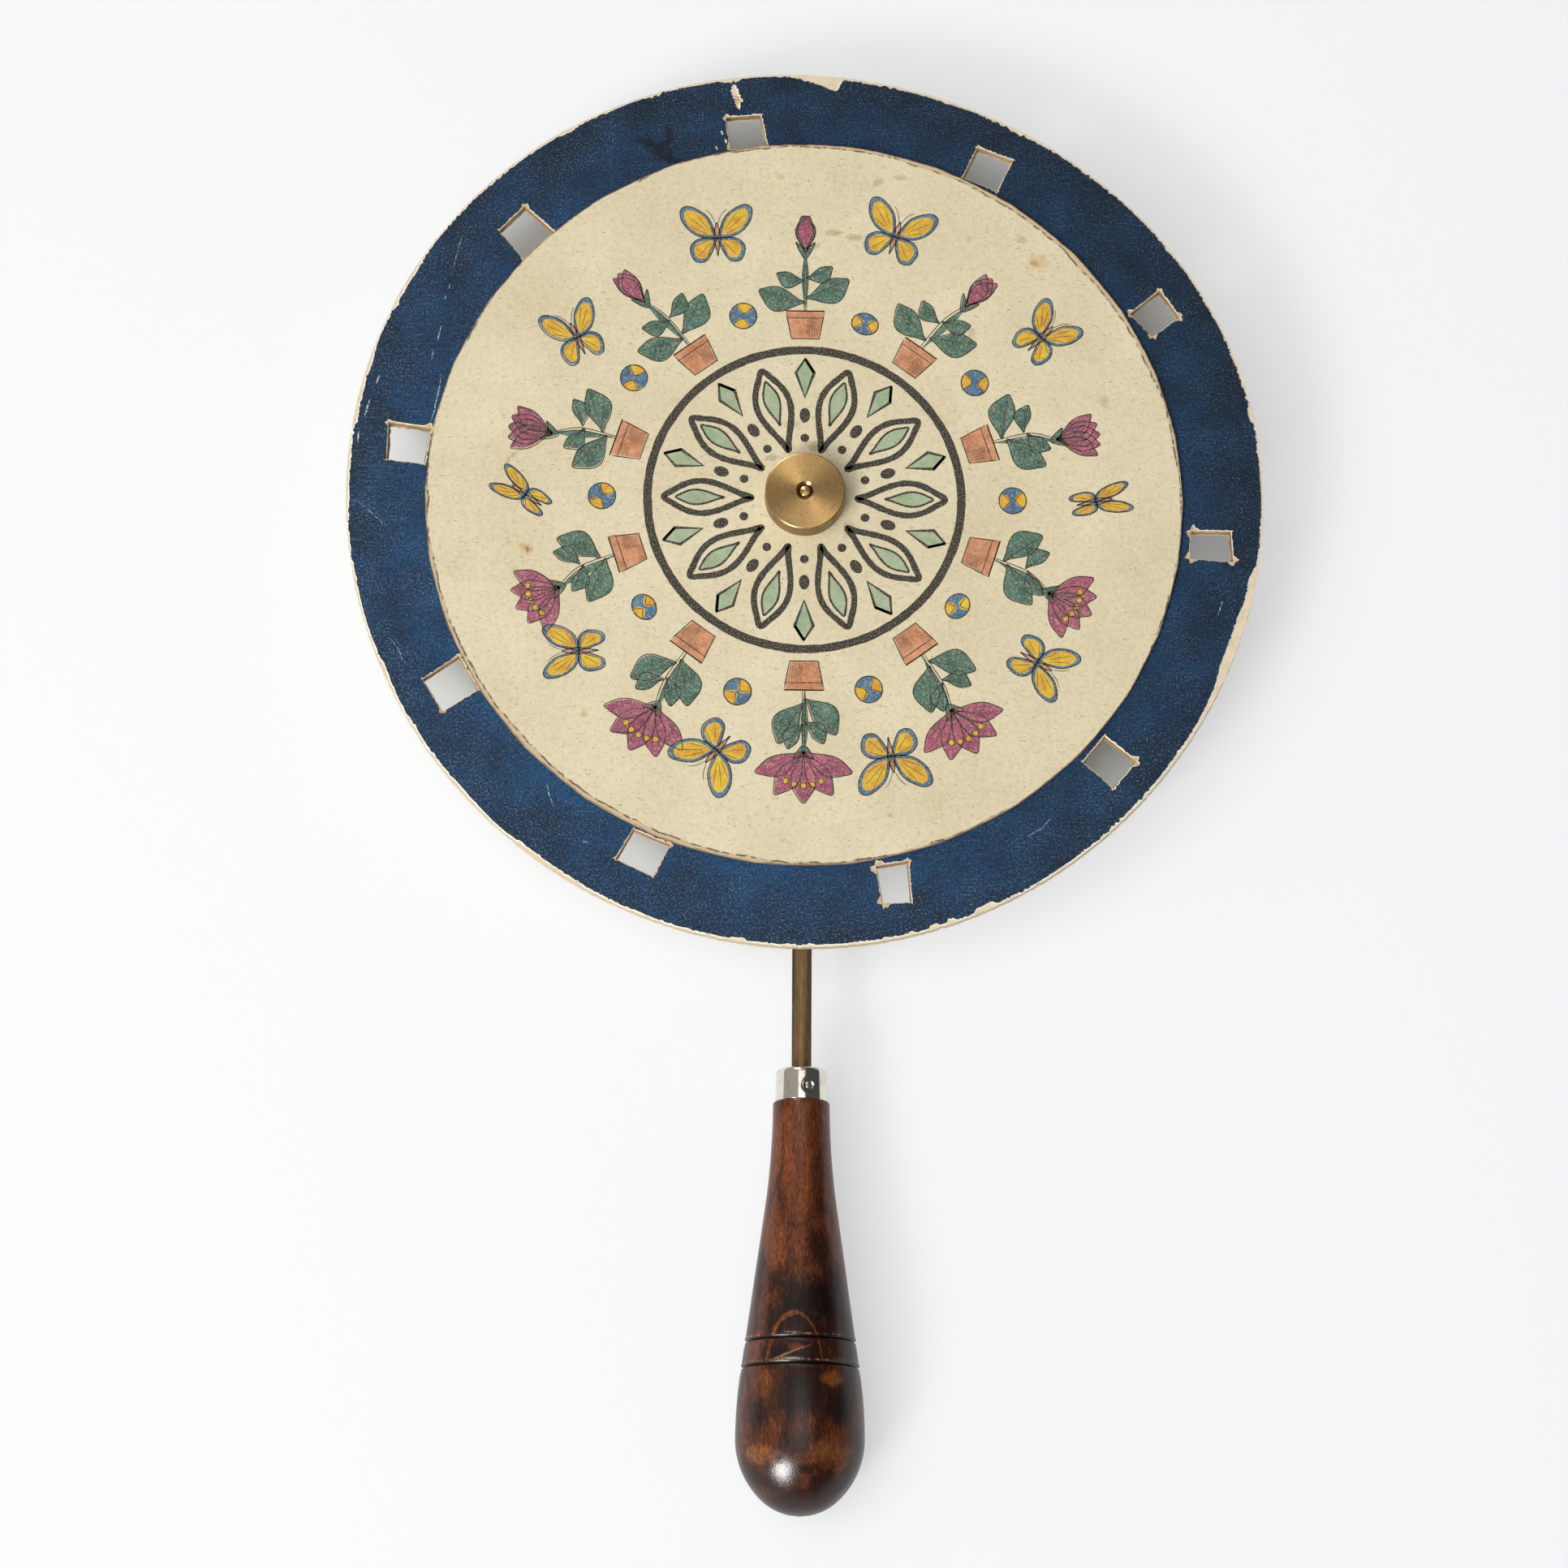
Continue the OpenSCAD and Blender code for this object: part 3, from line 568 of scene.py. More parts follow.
outline = []
for i in range(1800):
    a = i / 5
    spot = polar(disc_r, a)
    chip = max(0.0, rough(spot, 3.1, 2.0) - 0.42) * 1.0
    outline.append(polar(rim(a) - 0.40 - 0.10 * rough(spot, 1.3, 1.0) - chip, a))
holes = [ragged(corners, -0.12, 0.08, 1.1, 10.0 + n) for n, corners in enumerate(slots)]
# how far each slot's walls lean
leans = [0.30, 0.32, 0.36, 0.34, 0.50, 0.42, 0.32, 0.32, 0.60, 0.42]
board = sheet("slotted_pasteboard", board_top, board_back, outline, holes + [spindle_hole(1.0)],
              [0.22] + leans + [0.0])


def dry_surface(tree, tone, roughness, shine, relief=None, strength=0.0, depth=0.0, nap=0.0):
    """Ends a material that has no gloss, with a pattern as its relief, so many metres deep."""
    skin = {"Base Color": tone, "Roughness": roughness, "Specular IOR Level": shine, "Sheen Weight": nap}
    if relief:
        skin["Normal"] = add(tree, "Bump", {"Strength": strength, "Distance": depth, "Height": relief})
    add(tree, "OutputMaterial", {0: add(tree, "BsdfPrincipled", skin)})


# Rag pasteboard: where the blue paper has come away it is bare, tan and fibrous, with orange
# specks and paler rags. Its cut edge shows the plies as thin brown lines under a pale one.
pasteboard, t, mil = new_material("rag_pasteboard")
fibre = lumps(t, mil, 0.6, 6.0, 0.7)
torn = lumps(t, mil, 3.5, 5.0, 0.65)
tone = tint(t, paint("#dbc6a0"), torn, 0.40, 0.62, 1.0, "#bd9a6f")
tone = tint(t, tone, fibre, 0.5, 0.72, 0.55, "#a37a52")
# the bare band along the rim has been rubbed pale
tone = tint(t, tone, off_axis(t, mil), 124.0, 126.0, 0.6, "#eddfc4")
dry_surface(t, tone, 0.9, 0.25, fibre, 0.8, 0.00012, 0.1)
cut_board, t, mil = new_material("cut_pasteboard_edge")
# plies 0.3 mm thick
plies = lumps(t, mil, (9, 9, 0.3), 3.0, 0.6)
fibre = lumps(t, mil, 0.5, 4.0, 0.7)
tone = tint(t, paint("#cdae80"), plies, 0.40, 0.60, 1.0, "#7b5a38")
height = add(t, "SeparateXYZ", {0: mil}, out=2)
tone = tint(t, tone, height, -0.75, -0.40, 0.9, "#e8dcc0", "SMOOTHSTEP")
tone = tint(t, tone, fibre, 0.55, 0.75, 0.5, "#5f4428")
tone = tint(t, tone, off_axis(t, mil), 124.0, 126.0, 0.6, "#e6d5b4")
dry_surface(t, tone, 0.92, 0.2, plies, 0.8, 0.00015)
board.data.materials.append(pasteboard)
board.data.materials.append(cut_board)
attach(board, "disc_set")
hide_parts("slotted_board")


# Facing: thin paper coloured Prussian blue on its front only, pasted over the whole board.
# It is chipped back all round the rim and the slots, torn in three places and cracked.
# The two long tears at the rim as (angle, width of the strip laid bare), and small chips as
# middle, half width and depth. Angles run anticlockwise from the right.
tears = (((92.4, 0.9), (91.9, 1.3), (90, 2.3), (88, 3.7), (86.6, 4.6), (86, 5.0), (85.7, 4.2), (85.5, 2.7), (85.2, 1.5),
          (84.4, 0.9)),
         ((352.6, 0.8), (351.7, 1.6), (350.3, 2.6), (346.7, 2.5), (344.8, 3.2), (341.3, 3.3), (337.8, 3.1),
          (335, 2.0), (330, 1.4), (322, 1.2), (314, 1.0), (306, 0.8)))
chips = ((99.6, 1.3, 0.9), (293.2, 1.6, 1.3), (288.6, 0.5, 0.9), (286.4, 0.7, 0.8), (236, 6, 0.5), (166, 6, 0.6),
         (151, 4, 0.5), (61, 2, 0.5), (12, 1.2, 0.9), (204, 2, 0.6), (262, 1.2, 0.7), (122, 1.2, 0.6), (178, 5, 0.5))
outline = []
for i in range(2400):
    a = i * 0.15
    spot = polar(disc_r, a)
    # the edge is nibbled finely all round, and more in some places than in others
    fray = 0.34 * rough(spot, 1.5, 6.0) + 0.42 * rough(spot, 0.6, 7.0)
    fray *= 0.3 + 1.5 * max(0.0, rough(spot, 7, 33.0) + 0.25)
    margin = 1.06 + 0.16 * math.cos(math.radians(a - 50)) + 0.26 * rough(spot, 9, 5.0) + fray
    margin += 1.6 * max(0.0, rough(spot, 3.6, 21.0) - 0.36)
    for line in tears:
        for (a1, m1), (a0, m0) in zip(line, line[1:]):
            if a0 <= a < a1:
                margin = max(margin, m0 + (m1 - m0) * (a - a0) / (a1 - a0) + fray)
    for middle, half, depth in chips:
        off = abs(math.remainder(a - middle, 360)) / half
        if off < 1:
            margin += depth * min(1.0, 3.0 * (1 - off)) * (0.82 + 0.35 * rough(spot, 2.0, 8.0))
    outline.append(polar(rim(a) - max(0.50, margin), a))
# where each slot's corners have torn, as (corner, size)
bites = (((3, 1.5), (0, 1.0), (2, 0.6)), ((0, 0.7), (2, 0.6)), ((1, 1.2), (2, 1.2), (0, 0.9), (3, 1.2)),
         ((0, 1.7), (3, 1.7), (2, 1.4)), ((1, 1.4), (2, 0.7)), ((0, 1.9), (3, 1.7), (1, 0.8)),
         ((1, 1.0), (3, 0.6)), ((2, 0.9), (0, 0.7)), ((1, 1.4), (0, 1.0)), ((0, 1.1), (2, 0.7)))
holes = [ragged(corners, 0.12, 0.30, 0.8, 30.0 + n, overcut=0.7, bites=bites[n]) for n, corners in enumerate(slots)]
slopes = [0.48, 0.18, 0.14, 0.15, 0.18, 0.30, 0.20, 0.15, 0.15, 0.20, 0.16]


def tear(points, width, seed):
    """A narrow opening along a line, widest at its middle, with ragged lips."""
    left, right = [], []
    count = max(8, int(sum(math.dist(a, b) for a, b in zip(points, points[1:])) / 0.35))
    for i in range(count + 1):
        along = i / count * (len(points) - 1)
        k = min(int(along), len(points) - 2)
        a, b = Vector(points[k]), Vector(points[k + 1])
        p = a.lerp(b, along - k)
        before, after = Vector(points[max(k - 1, 0)]), Vector(points[min(k + 2, len(points) - 1)])
        way = (b - a).normalized() + 0.5 * (after - before).normalized()
        side = Vector((-way.y, way.x)).normalized()
        open_by = width * abs(math.sin(math.pi * i / count)) ** 0.7 / 2 * (1 + 1.1 * rough(p, 0.5, seed))
        left.append(p + side * open_by)
        right.append(p - side * open_by)
    return left + right[-2:0:-1]


# a crack from the rim to the first slot, with three chips beside it, and thin lines that are
# only rubbed through
cracks = (
    (((-21.2, 127.6), (-20.9, 125.2), (-20.5, 123.4), (-19.6, 121.6), (-19.9, 120.4), (-19.2, 118.6)), 2.3),
    (((-24.6, 112.1), (-24.1, 110.7)), 0.65),
    (((-23.5, 109.5), (-22.9, 108.0)), 0.60),
    (((-26.2, 107.2), (-25.5, 106.0)), 0.50),
)
for n, (points, width) in enumerate(cracks):
    holes.append(tear(points, width, 50.0 + n))
    slopes.append(0.2 * width)
rubbed_lines = (
    (((-103.6, 36.2), (-103.5, 35.2), (-104.3, 30.3), (-105.4, 24.5), (-106.3, 21.8)), 0.34),
    (((-103.7, 50.9), (-104.1, 50.0), (-104.9, 46.3)), 0.30), (((-105.9, 43.6), (-106.2, 41.3), (-106.7, 40.4)), 0.36),
    (((-101.7, 63.6), (-102.1, 62.2)), 0.30), (((-102.8, 60.2), (-103.1, 58.9)), 0.30),
    (((-98.6, 78.6), (-99.7, 74.0), (-101.2, 67.3)), 0.16), (((-123.4, 28.6), (-124.3, 26.0), (-124.9, 22.9)), 0.45),
    (((-126.4, 18.9), (-126.6, 17.2), (-126.3, 15.4)), 0.5), (((-121.0, 36.0), (-122.0, 33.0)), 0.5),
    (((-71.2, -83.6), (-70.4, -87.1), (-69.0, -90.3)), 0.28), (((-60.9, -100.2), (-59.3, -100.4)), 0.4),
    (((-116.0, -42.0), (-113.2, -45.6), (-112.0, -49.0)), 0.2), (((-126.0, -2.0), (-117.5, -9.5)), 0.16),
    (((62.0, -97.5), (66.4, -95.0), (69.0, -91.8)), 0.22), (((118.0, -28.5), (116.6, -33.0)), 0.24),
)
facing = sheet("blue_facing_paper", 0.0, board_top + 0.005, outline, holes + [spindle_hole(2.0)], slopes + [0.0])

# Prussian blue coloured paper: deep blue that has rubbed to paler streaks, freckled with
# white where the grain of the board has worn through, with creases; its torn edge is white.
blue_paper, t, mil = new_material("prussian_blue_paper")
cloudy = lumps(t, mil, 13, 7.0, 0.62)
mottle = lumps(t, mil, 1.2, 5.0, 0.7)
grain = lumps(t, mil, 0.55, 3.0, 0.75)
# the colour is a little stronger in the band that the picture disc has sheltered
from_axis = off_axis(t, mil)
sheltered = add(t, "MapRange", {0: from_axis, 1: 127.0, 2: 108.0, 3: -0.07, 4: 0.13})
bright = add(t, "Math", {0: sheltered, 1: cloudy}, operation="ADD")
tone = tint(t, paint("#182b40"), bright, 0.34, 0.76, 1.0, "#1d486f")
# pores a millimetre apart, dark, and freckles where the grain has rubbed pale
tone = tint(t, tone, mottle, 0.48, 0.66, 0.7, "#121e2c")
rim_wear = add(t, "MapRange", {0: from_axis, 1: 112.0, 2: 128.0, 3: -0.03, 4: 0.08})
rubbed = add(t, "Math", {0: lumps(t, mil, 11, 5.0, 0.65), 1: rim_wear}, operation="ADD")
rubbed = add(t, "MapRange", {0: rubbed, 1: 0.38, 2: 0.66, 3: 0.30, 4: 1.0})
freckle = add(t, "MapRange", {0: grain, 1: 0.54, 2: 0.68, 3: 0.0, 4: 0.80})
freckle = add(t, "Math", {0: freckle, 1: rubbed}, operation="MULTIPLY")
tone = add(t, "Mix", {0: freckle, 6: tone, 7: paint("#8598ab")})
tone = tint(t, tone, grain, 0.47, 0.34, 0.75, "#0e1825")
# the blue is made lighter towards the lower left and darker towards the upper right
slant = add(t, "VectorMath", {0: mil, 1: (-0.70, -0.71, 0.0)}, out=1, operation="DOT_PRODUCT")
tone = times(t, tone, add(t, "MapRange", {0: slant, 1: -125.0, 2: 125.0, 3: 0.58, 4: 1.13}))
# fine wear streaks that run across the left of the disc
left = add(t, "MapRange", {0: add(t, "SeparateXYZ", {0: mil}, out=0), 1: -134.0, 2: -98.0, 3: 0.3, 4: 0.05})
for turn, length, low, high in ((-24, 7, 0.58, 0.72), (38, 5, 0.61, 0.74)):
    streaks = lumps(t, mil, (length, 0.6, 1), 4.0, 0.6, turn)
    streaks = add(t, "MapRange", {0: streaks, 1: low, 2: high, 3: 0.0, 4: 1.0})
    streaks = add(t, "Math", {0: streaks, 1: left}, operation="MULTIPLY")
    tone = add(t, "Mix", {0: streaks, 6: tone, 7: paint("#90a1af")})
# a dark splash with arms at the upper left
blot = lumps(t, mil, 3.2, 5.0, 0.62)
for at, size, strength, loose in (
        ((-41.8, 105.4, 0), (4.2, 4.2, 1000), 0.85, 3.2), ((-46.0, 108.2, 0), (3.6, 1.8, 1000), 0.8, 2.4),
        ((-39.5, 110.0, 0), (1.6, 3.4, 1000), 0.8, 2.4), ((-38.0, 102.5, 0), (3.2, 1.7, 1000), 0.8, 2.4)):
    tone = dab(t, tone, "#131a22", mil, at, size, blot, strength, loose=loose)
tooth = add(t, "Math", {0: mottle, 1: grain}, operation="ADD")
dry_surface(t, tone, 0.72, 0.12, tooth, 0.8, 0.00012)
facing.data.materials.append(blue_paper)
# Torn paper: the white inside of the sheet, showing as a ragged fringe wherever it has torn
torn_paper, t, mil = new_material("torn_white_paper")
fibre = lumps(t, mil, 0.5, 5.0, 0.7)
tone = tint(t, paint("#f2ecdc"), fibre, 0.45, 0.72, 0.8, "#cdbb97")
dry_surface(t, tone, 0.92, 0.2, fibre, 0.8, 0.00010)
facing.data.materials.append(torn_paper)
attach(facing, "disc_set")
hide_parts("slotted_facing")


def stroke(bm, points, width, taper, height):
    """Lays a flat ribbon of colour along a line."""
    sides = []
    count = len(points)
    for i, p in enumerate(points):
        a, b = Vector(points[max(i - 1, 0)]), Vector(points[min(i + 1, count - 1)])
        way = (b - a).normalized()
        ends = min(1.0, min(i, count - 1 - i) / max(1.0, 0.3 * count))
        girth = width * (1 - taper * (1 - ends)) * (1 + 0.16 * rough(p, 1.6, 95.0)) / 2
        sides.append(Vector((-way.y, way.x)) * girth)
    edge = [bm.verts.new(((p[0] - s.x) * mm, (p[1] - s.y) * mm, height * mm)) for p, s in zip(points, sides)]
    spine = [bm.edges.new(pair) for pair in zip(edge, edge[1:])]
    shift = {tuple(v.co): s * 2 * mm for v, s in zip(edge, sides)}
    grown = bmesh.ops.extrude_edge_only(bm, edges=spine)
    for vert in (g for g in grown["geom"] if isinstance(g, bmesh.types.BMVert)):
        move = shift[tuple(vert.co)]
        vert.co.x += move.x
        vert.co.y += move.y


def beside(loop, amount):
    """A closed loop moved outwards by an amount, or inwards by a negative one."""
    turn = sum(a[0] * b[1] - b[0] * a[1] for a, b in zip(loop, loop[1:] + loop[:1]))
    amount *= 1 if turn > 0 else -1
    moved = []
    for i, p in enumerate(loop):
        way = (Vector(loop[(i + 1) % len(loop)]) - Vector(loop[i - 1])).normalized()
        moved.append((p[0] + way.y * amount, p[1] - way.x * amount))
    return moved + moved[:1]


def facing_front(bm):
    """Turns every face of flat work to the front."""
    for face in bm.faces:
        face.normal_update()
        if face.normal.z < 0:
            face.normal_flip()


# Colour and dirt that have gathered along every cut and torn edge of the blue paper, and painted
# shade at that edge: a thin line, nearly black, that makes each edge look inked.
bm = bmesh.new()
stroke(bm, beside(outline, -0.16), 0.34, 0.0, 0.003)
for loop in holes:
    stroke(bm, beside(loop, 0.13), 0.24, 0.0, 0.003)
facing_front(bm)
edge_line = piece_of("blue_paper_dark_edge", bm)
edge_dirt_and_shade, t, mil = new_material("gathered_colour_and_edge_shade")
fade = lumps(t, mil, 2.4, 4.0, 0.65)
tone = tint(t, paint("#0f1822"), fade, 0.40, 0.54, 1.0, "#243a52")
dry_surface(t, tone, 0.8, 0.25)
edge_line.data.materials.append(edge_dirt_and_shade)
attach(edge_line, "disc_set")


# Lines on the worn left side where the blue has rubbed through to the white of its paper
bm = bmesh.new()
for points, width in rubbed_lines:
    fine = []
    for a, b in zip(points, points[1:]):
        steps = max(2, int(math.dist(a, b) / 0.5))
        fine += [Vector(a).lerp(Vector(b), i / steps) for i in range(steps)]
    fine.append(points[-1])
    shaken = [(x + 0.22 * rough((x, y), 0.9, 63.0), y + 0.22 * rough((x, y), 0.9, 64.0)) for x, y in fine]
    stroke(bm, shaken, width, 0.8, 0.004)
facing_front(bm)
rubs = piece_of("blue_paper_rubbed_lines", bm)
rubbed_through, t, mil = new_material("rubbed_through_blue")
grit = lumps(t, mil, 0.7, 3.0, 0.7)
tone = tint(t, paint("#b9c6c8"), grit, 0.46, 0.56, 1.0, "#2b4560")
dry_surface(t, tone, 0.85, 0.2)
rubs.data.materials.append(rubbed_through)
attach(rubs, "disc_set")


# Lining: plain paper pasted on the back of the board, cut short of the rim by eye.
outline = [polar(rim(a / 2) - 4.0 + 0.35 * rough(polar(disc_r, a / 2), 14, 61.0)
                 + 0.08 * rough(polar(disc_r, a / 2), 1.5, 62.0), a / 2) for a in range(720)]
holes = [ragged(corners, -0.45, 0.14, 1.0, 70.0 + n) for n, corners in enumerate(slots)]
lining = sheet("lining_paper", board_back - 0.005, disc_back, outline, holes + [spindle_hole(3.0)], [0.0] * 12)

# Aged plain paper: light tan, with fibres, slow brown clouds and a few rust spots
plain_paper, t, mil = new_material("aged_plain_paper")
clouds = lumps(t, mil, 30, 5.0, 0.6)
fibre = lumps(t, mil, 0.5, 4.0, 0.7)
spots = lumps(t, mil, 4.5, 2.0, 0.5)
tone = tint(t, paint("#d9cba9"), clouds, 0.3, 0.7, 1.0, "#bfa97f")
tone = tint(t, tone, fibre, 0.5, 0.75, 0.35, "#9a8460")
tone = tint(t, tone, spots, 0.70, 0.80, 0.5, "#8a5f34")
dry_surface(t, tone, 0.88, 0.25, fibre, 0.5, 0.00008)
lining.data.materials.append(plain_paper)
lining.data.materials.append(torn_paper)
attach(lining, "disc_set")
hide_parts("slotted_lining")


# Card of the picture disc: thin brown-grey card. It was cut with scissors, so its outline
# is a run of nearly straight snips about 25 mm long.
picture_r = 107.3
picture_c = (0, 0.6)
card_t, print_top = 1.0, 1.2


def snipped(degrees):
    """Radius of the picture disc's edge: straight between one snip of the scissors and the next."""
    snip = 12.0
    k = degrees / snip + 0.35 * math.sin(math.radians(degrees * 2))
    part = k - math.floor(k)
    half = math.radians(snip / 2)
    chord = math.cos(half) / math.cos(half * (2 * part - 1))
    return (picture_r - 0.05) * (0.45 * chord + 0.55)


def cut_round(back, fray, lump, seed):
    """The picture disc's outline, cut back and frayed."""
    angles = [i / 4 for i in range(1440)]
    return [polar(snipped(a) - back - fray * rough(polar(107, a), lump, seed), a, picture_c) for a in angles]


outline = cut_round(0.05, 0.05, 1.4, 80.0)
card = sheet("picture_card_board", card_t, 0.004, outline, [spindle_hole(4.0)], [0.0, 0.0])

# Brown card: its cut edge is soft and a little dirty
brown_card, t, mil = new_material("brown_card")
plies = lumps(t, mil, (3, 3, 0.2), 4.0, 0.65)
tone = tint(t, paint("#c2a079"), plies, 0.35, 0.65, 1.0, "#7f5f40")
dry_surface(t, tone, 0.9, 0.25, plies, 0.6, 0.00008)
card.data.materials.append(brown_card)
card.data.materials.append(brown_card)
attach(card, "picture_set")
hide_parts("picture_card")


# Print: wove paper pasted on the card and cut with it. A thin black border line was printed
# round the picture, and most of it went with the scissors where the cut was off centre.
outline = cut_round(0.09, 0.06, 1.1, 84.0)
sheet_print = sheet("printed_sheet", print_top, card_t + 0.004, outline, [spindle_hole(5.0)], [0.03, 0.0])

# Aged wove paper: warm cream with pale and dark fibres, small rust spots, grey round the nut that
# is painted shade and rubbed dirt; outside the border line the bare edge has browned.
cream_paper, t, mil = new_material("aged_cream_paper")
clouds = lumps(t, mil, 34, 5.0, 0.6)
mottle = lumps(t, mil, 1.5, 4.0, 0.7)
tone = tint(t, paint("#e3d6b6"), clouds, 0.32, 0.7, 1.0, "#d6c7a2")
tone = tint(t, tone, mottle, 0.5, 0.72, 0.3, "#b7a57d")
tone = tint(t, tone, mottle, 0.5, 0.3, 0.28, "#ece3cc")
# dark specks of the pulp, 0.3 mm across
specks = lumps(t, mil, 0.6, 2.0, 0.6)
tone = tint(t, tone, specks, 0.64, 0.74, 0.85, "#6b5a3a")
# loose dark fibres, 0.4 mm by 2 mm, lying three ways
for turn, seed in ((20, 3.0), (75, 17.0), (140, 31.0)):
    hairs = lumps(t, mil, (2.0, 0.4, 1), 1.0, 0.5, turn, seed)
    tone = tint(t, tone, hairs, 0.73, 0.77, 0.6, "#6f5f3b")
# rust spots, then yellow-brown dabs, and grey round the nut, painted shade at its foot and dirt rubbed in
blot = lumps(t, mil, 2.2, 5.0, 0.68)
for x, y, wide, high, strength, code in (
        (66.5, 72.5, 3.2, 2.8, 0.42, "#c9924f"), (66.0, 72.0, 1.4, 1.2, 0.5, "#a8763a"),
        (-77.9, -16.0, 2.4, 2.4, 0.5, "#c08a48"), (-77.9, -16.0, 0.9, 1.0, 0.7, "#7d5428"),
        (-82.4, 12.0, 1.0, 1.0, 0.5, "#b5854a"), (-84.0, 9.0, 0.7, 3.4, 0.5, "#c08a48"),
        (16.9, 77.2, 1.3, 1.3, 0.4, "#b5854a"), (-7.5, 97.2, 1.4, 1.3, 0.4, "#c99a58"),
        (47.0, 79.0, 1.1, 1.1, 0.35, "#b5854a"), (-61.0, -64.0, 1.2, 1.2, 0.4, "#b5854a"),
        (24.0, -92.0, 1.0, 1.0, 0.4, "#b5854a"), (8.0, 80.5, 3.4, 1.2, 0.5, "#a08c58"),
        (14.0, 79.0, 3.6, 1.8, 0.5, "#a08c58"), (2.4, 76.2, 2.4, 1.3, 0.45, "#a08c58"),
        (22.7, 78.3, 2.8, 1.6, 0.45, "#a18b58"), (21.0, 96.2, 1.8, 1.8, 0.45, "#a08c5c"),
        (27.5, 97.5, 2.8, 1.2, 0.4, "#a59062"), (62.4, 78.9, 2.0, 1.6, 0.42, "#a58f60"),
        (47.5, 50.4, 2.4, 1.6, 0.40, "#a58f60"), (85.4, 30.0, 1.9, 2.6, 0.35, "#9a8a62"),
        (3.1, 15.5, 3.4, 1.9, 0.5, "#6f6650"), (-9.5, 12.0, 2.4, 1.6, 0.38, "#776d56"),
        (12.5, -9.0, 2.2, 3.2, 0.35, "#776d56"), (-3.0, 22.0, 4.4, 1.6, 0.25, "#857b62")):
    tone = dab(t, tone, code, mil, (x, y, 0), (wide, high, 1000), blot, strength, loose=2.6)
flat = add(t, "Mapping", {"Vector": mil, "Scale": (1, 1, 0)})
# the browned edge, outside a border line that is off centre and a little oval
from_cut = add(t, "Mapping", {"Vector": mil, "Location": (0, -0.6, 0), "Scale": (1, 1, 0)})
cut_r = add(t, "VectorMath", {0: from_cut}, out=1, operation="LENGTH")
along = add(t, "SeparateXYZ", {0: from_cut}, out=0)
across = add(t, "SeparateXYZ", {0: from_cut}, out=1)
bearing = add(t, "Math", {0: across, 1: along}, operation="ARCTAN2")
twice = add(t, "Math", {0: bearing, 1: 2.0, 2: math.radians(-100)}, operation="MULTIPLY_ADD")
strip = add(t, "Math", {0: add(t, "Math", {0: twice}, operation="COSINE"), 1: 0.7, 2: 0.72}, operation="MULTIPLY_ADD")
wobble = add(t, "MapRange", {0: lumps(t, flat, 11, 3.0, 0.6), 1: 0.3, 2: 0.7, 3: -0.55, 4: 0.55})
strip = add(t, "Math", {0: wobble, 1: strip}, operation="ADD")
line_r = add(t, "Math", {0: picture_r - 0.15, 1: strip}, operation="SUBTRACT")
beyond = add(t, "Math", {0: cut_r, 1: line_r}, operation="SUBTRACT")
tone = tint(t, tone, beyond, -0.15, 0.25, 0.8, "#c9ae88")
gap = add(t, "MapRange", {0: lumps(t, flat, 2.6, 3.0, 0.6), 1: 0.44, 2: 0.52, 3: 0.15, 4: 1.0})
line = add(t, "MapRange", {0: add(t, "Math", {0: beyond}, operation="ABSOLUTE"), 1: 0.14, 2: 0.34, 3: 0.85, 4: 0.0})
tone = add(t, "Mix", {0: add(t, "Math", {0: line, 1: gap}, operation="MULTIPLY"), 6: tone, 7: paint("#33291f")})
dry_surface(t, tone, 0.85, 0.25, mottle, 0.45, 0.00006)
sheet_print.data.materials.append(cream_paper)
sheet_print.data.materials.append(torn_paper)
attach(sheet_print, "picture_set")
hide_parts("picture_print")

# Brown bruise that the scissors and years of fingers left along the very edge of the print
bm = bmesh.new()
stroke(bm, beside(outline, -0.10), 0.26, 0.0, print_top + 0.004)
facing_front(bm)
bruise = piece_of("print_browned_edge", bm)
browned_edge, t, mil = new_material("browned_paper_edge")
fade = lumps(t, mil, 4.5, 5.0, 0.7)
tone = tint(t, paint("#7a5236"), fade, 0.42, 0.60, 1.0, "#c2a983")
dry_surface(t, tone, 0.88, 0.25)
bruise.data.materials.append(browned_edge)
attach(bruise, "picture_set")


# Picture: ten phases of a pot plant that buds and opens while a ball bounces beside it and a
# butterfly beats its wings outside. Black ink lines were printed first, and watercolour
# was washed in by hand, a little over and under the lines.
frames = 10
wash_z, ink_z = print_top + 0.02, print_top + 0.035
washes = {"green": [], "magenta": [], "pale_green": [], "terracotta": [], "blue": [], "yellow": []}
lines = []


def place(k, spot, stand):
    """Puts a point of phase k's drawing on the disc, up being outwards. A stand is the
    drawing's radius, its angle past the phase's own, its turn and its size."""
    at_r, offset, turn, size = stand
    a = math.radians(90 - 36 * k - offset)
    c, s = size * math.cos(math.radians(turn)), size * math.sin(math.radians(turn))
    x, y = spot[0] * c - spot[1] * s, at_r + spot[0] * s + spot[1] * c
    return (y * math.cos(a) + x * math.sin(a), y * math.sin(a) - x * math.cos(a))


def smooth_line(points, closed=False, per=6):
    """A soft curve through points."""
    n = len(points)
    spans = n if closed else n - 1
    made = []
    for i in range(spans):
        p = [Vector(points[(i + d) % n] if closed else points[min(max(i + d, 0), n - 1)]) for d in (-1, 0, 1, 2)]
        for j in range(per):
            u = j / per
            made.append(0.5 * (2 * p[1] + (p[2] - p[0]) * u + (2 * p[0] - 5 * p[1] + 4 * p[2] - p[3]) * u ** 2
                               + (3 * p[1] - p[0] - 3 * p[2] + p[3]) * u ** 3))
    if not closed:
        made.append(Vector(points[-1]))
    return made


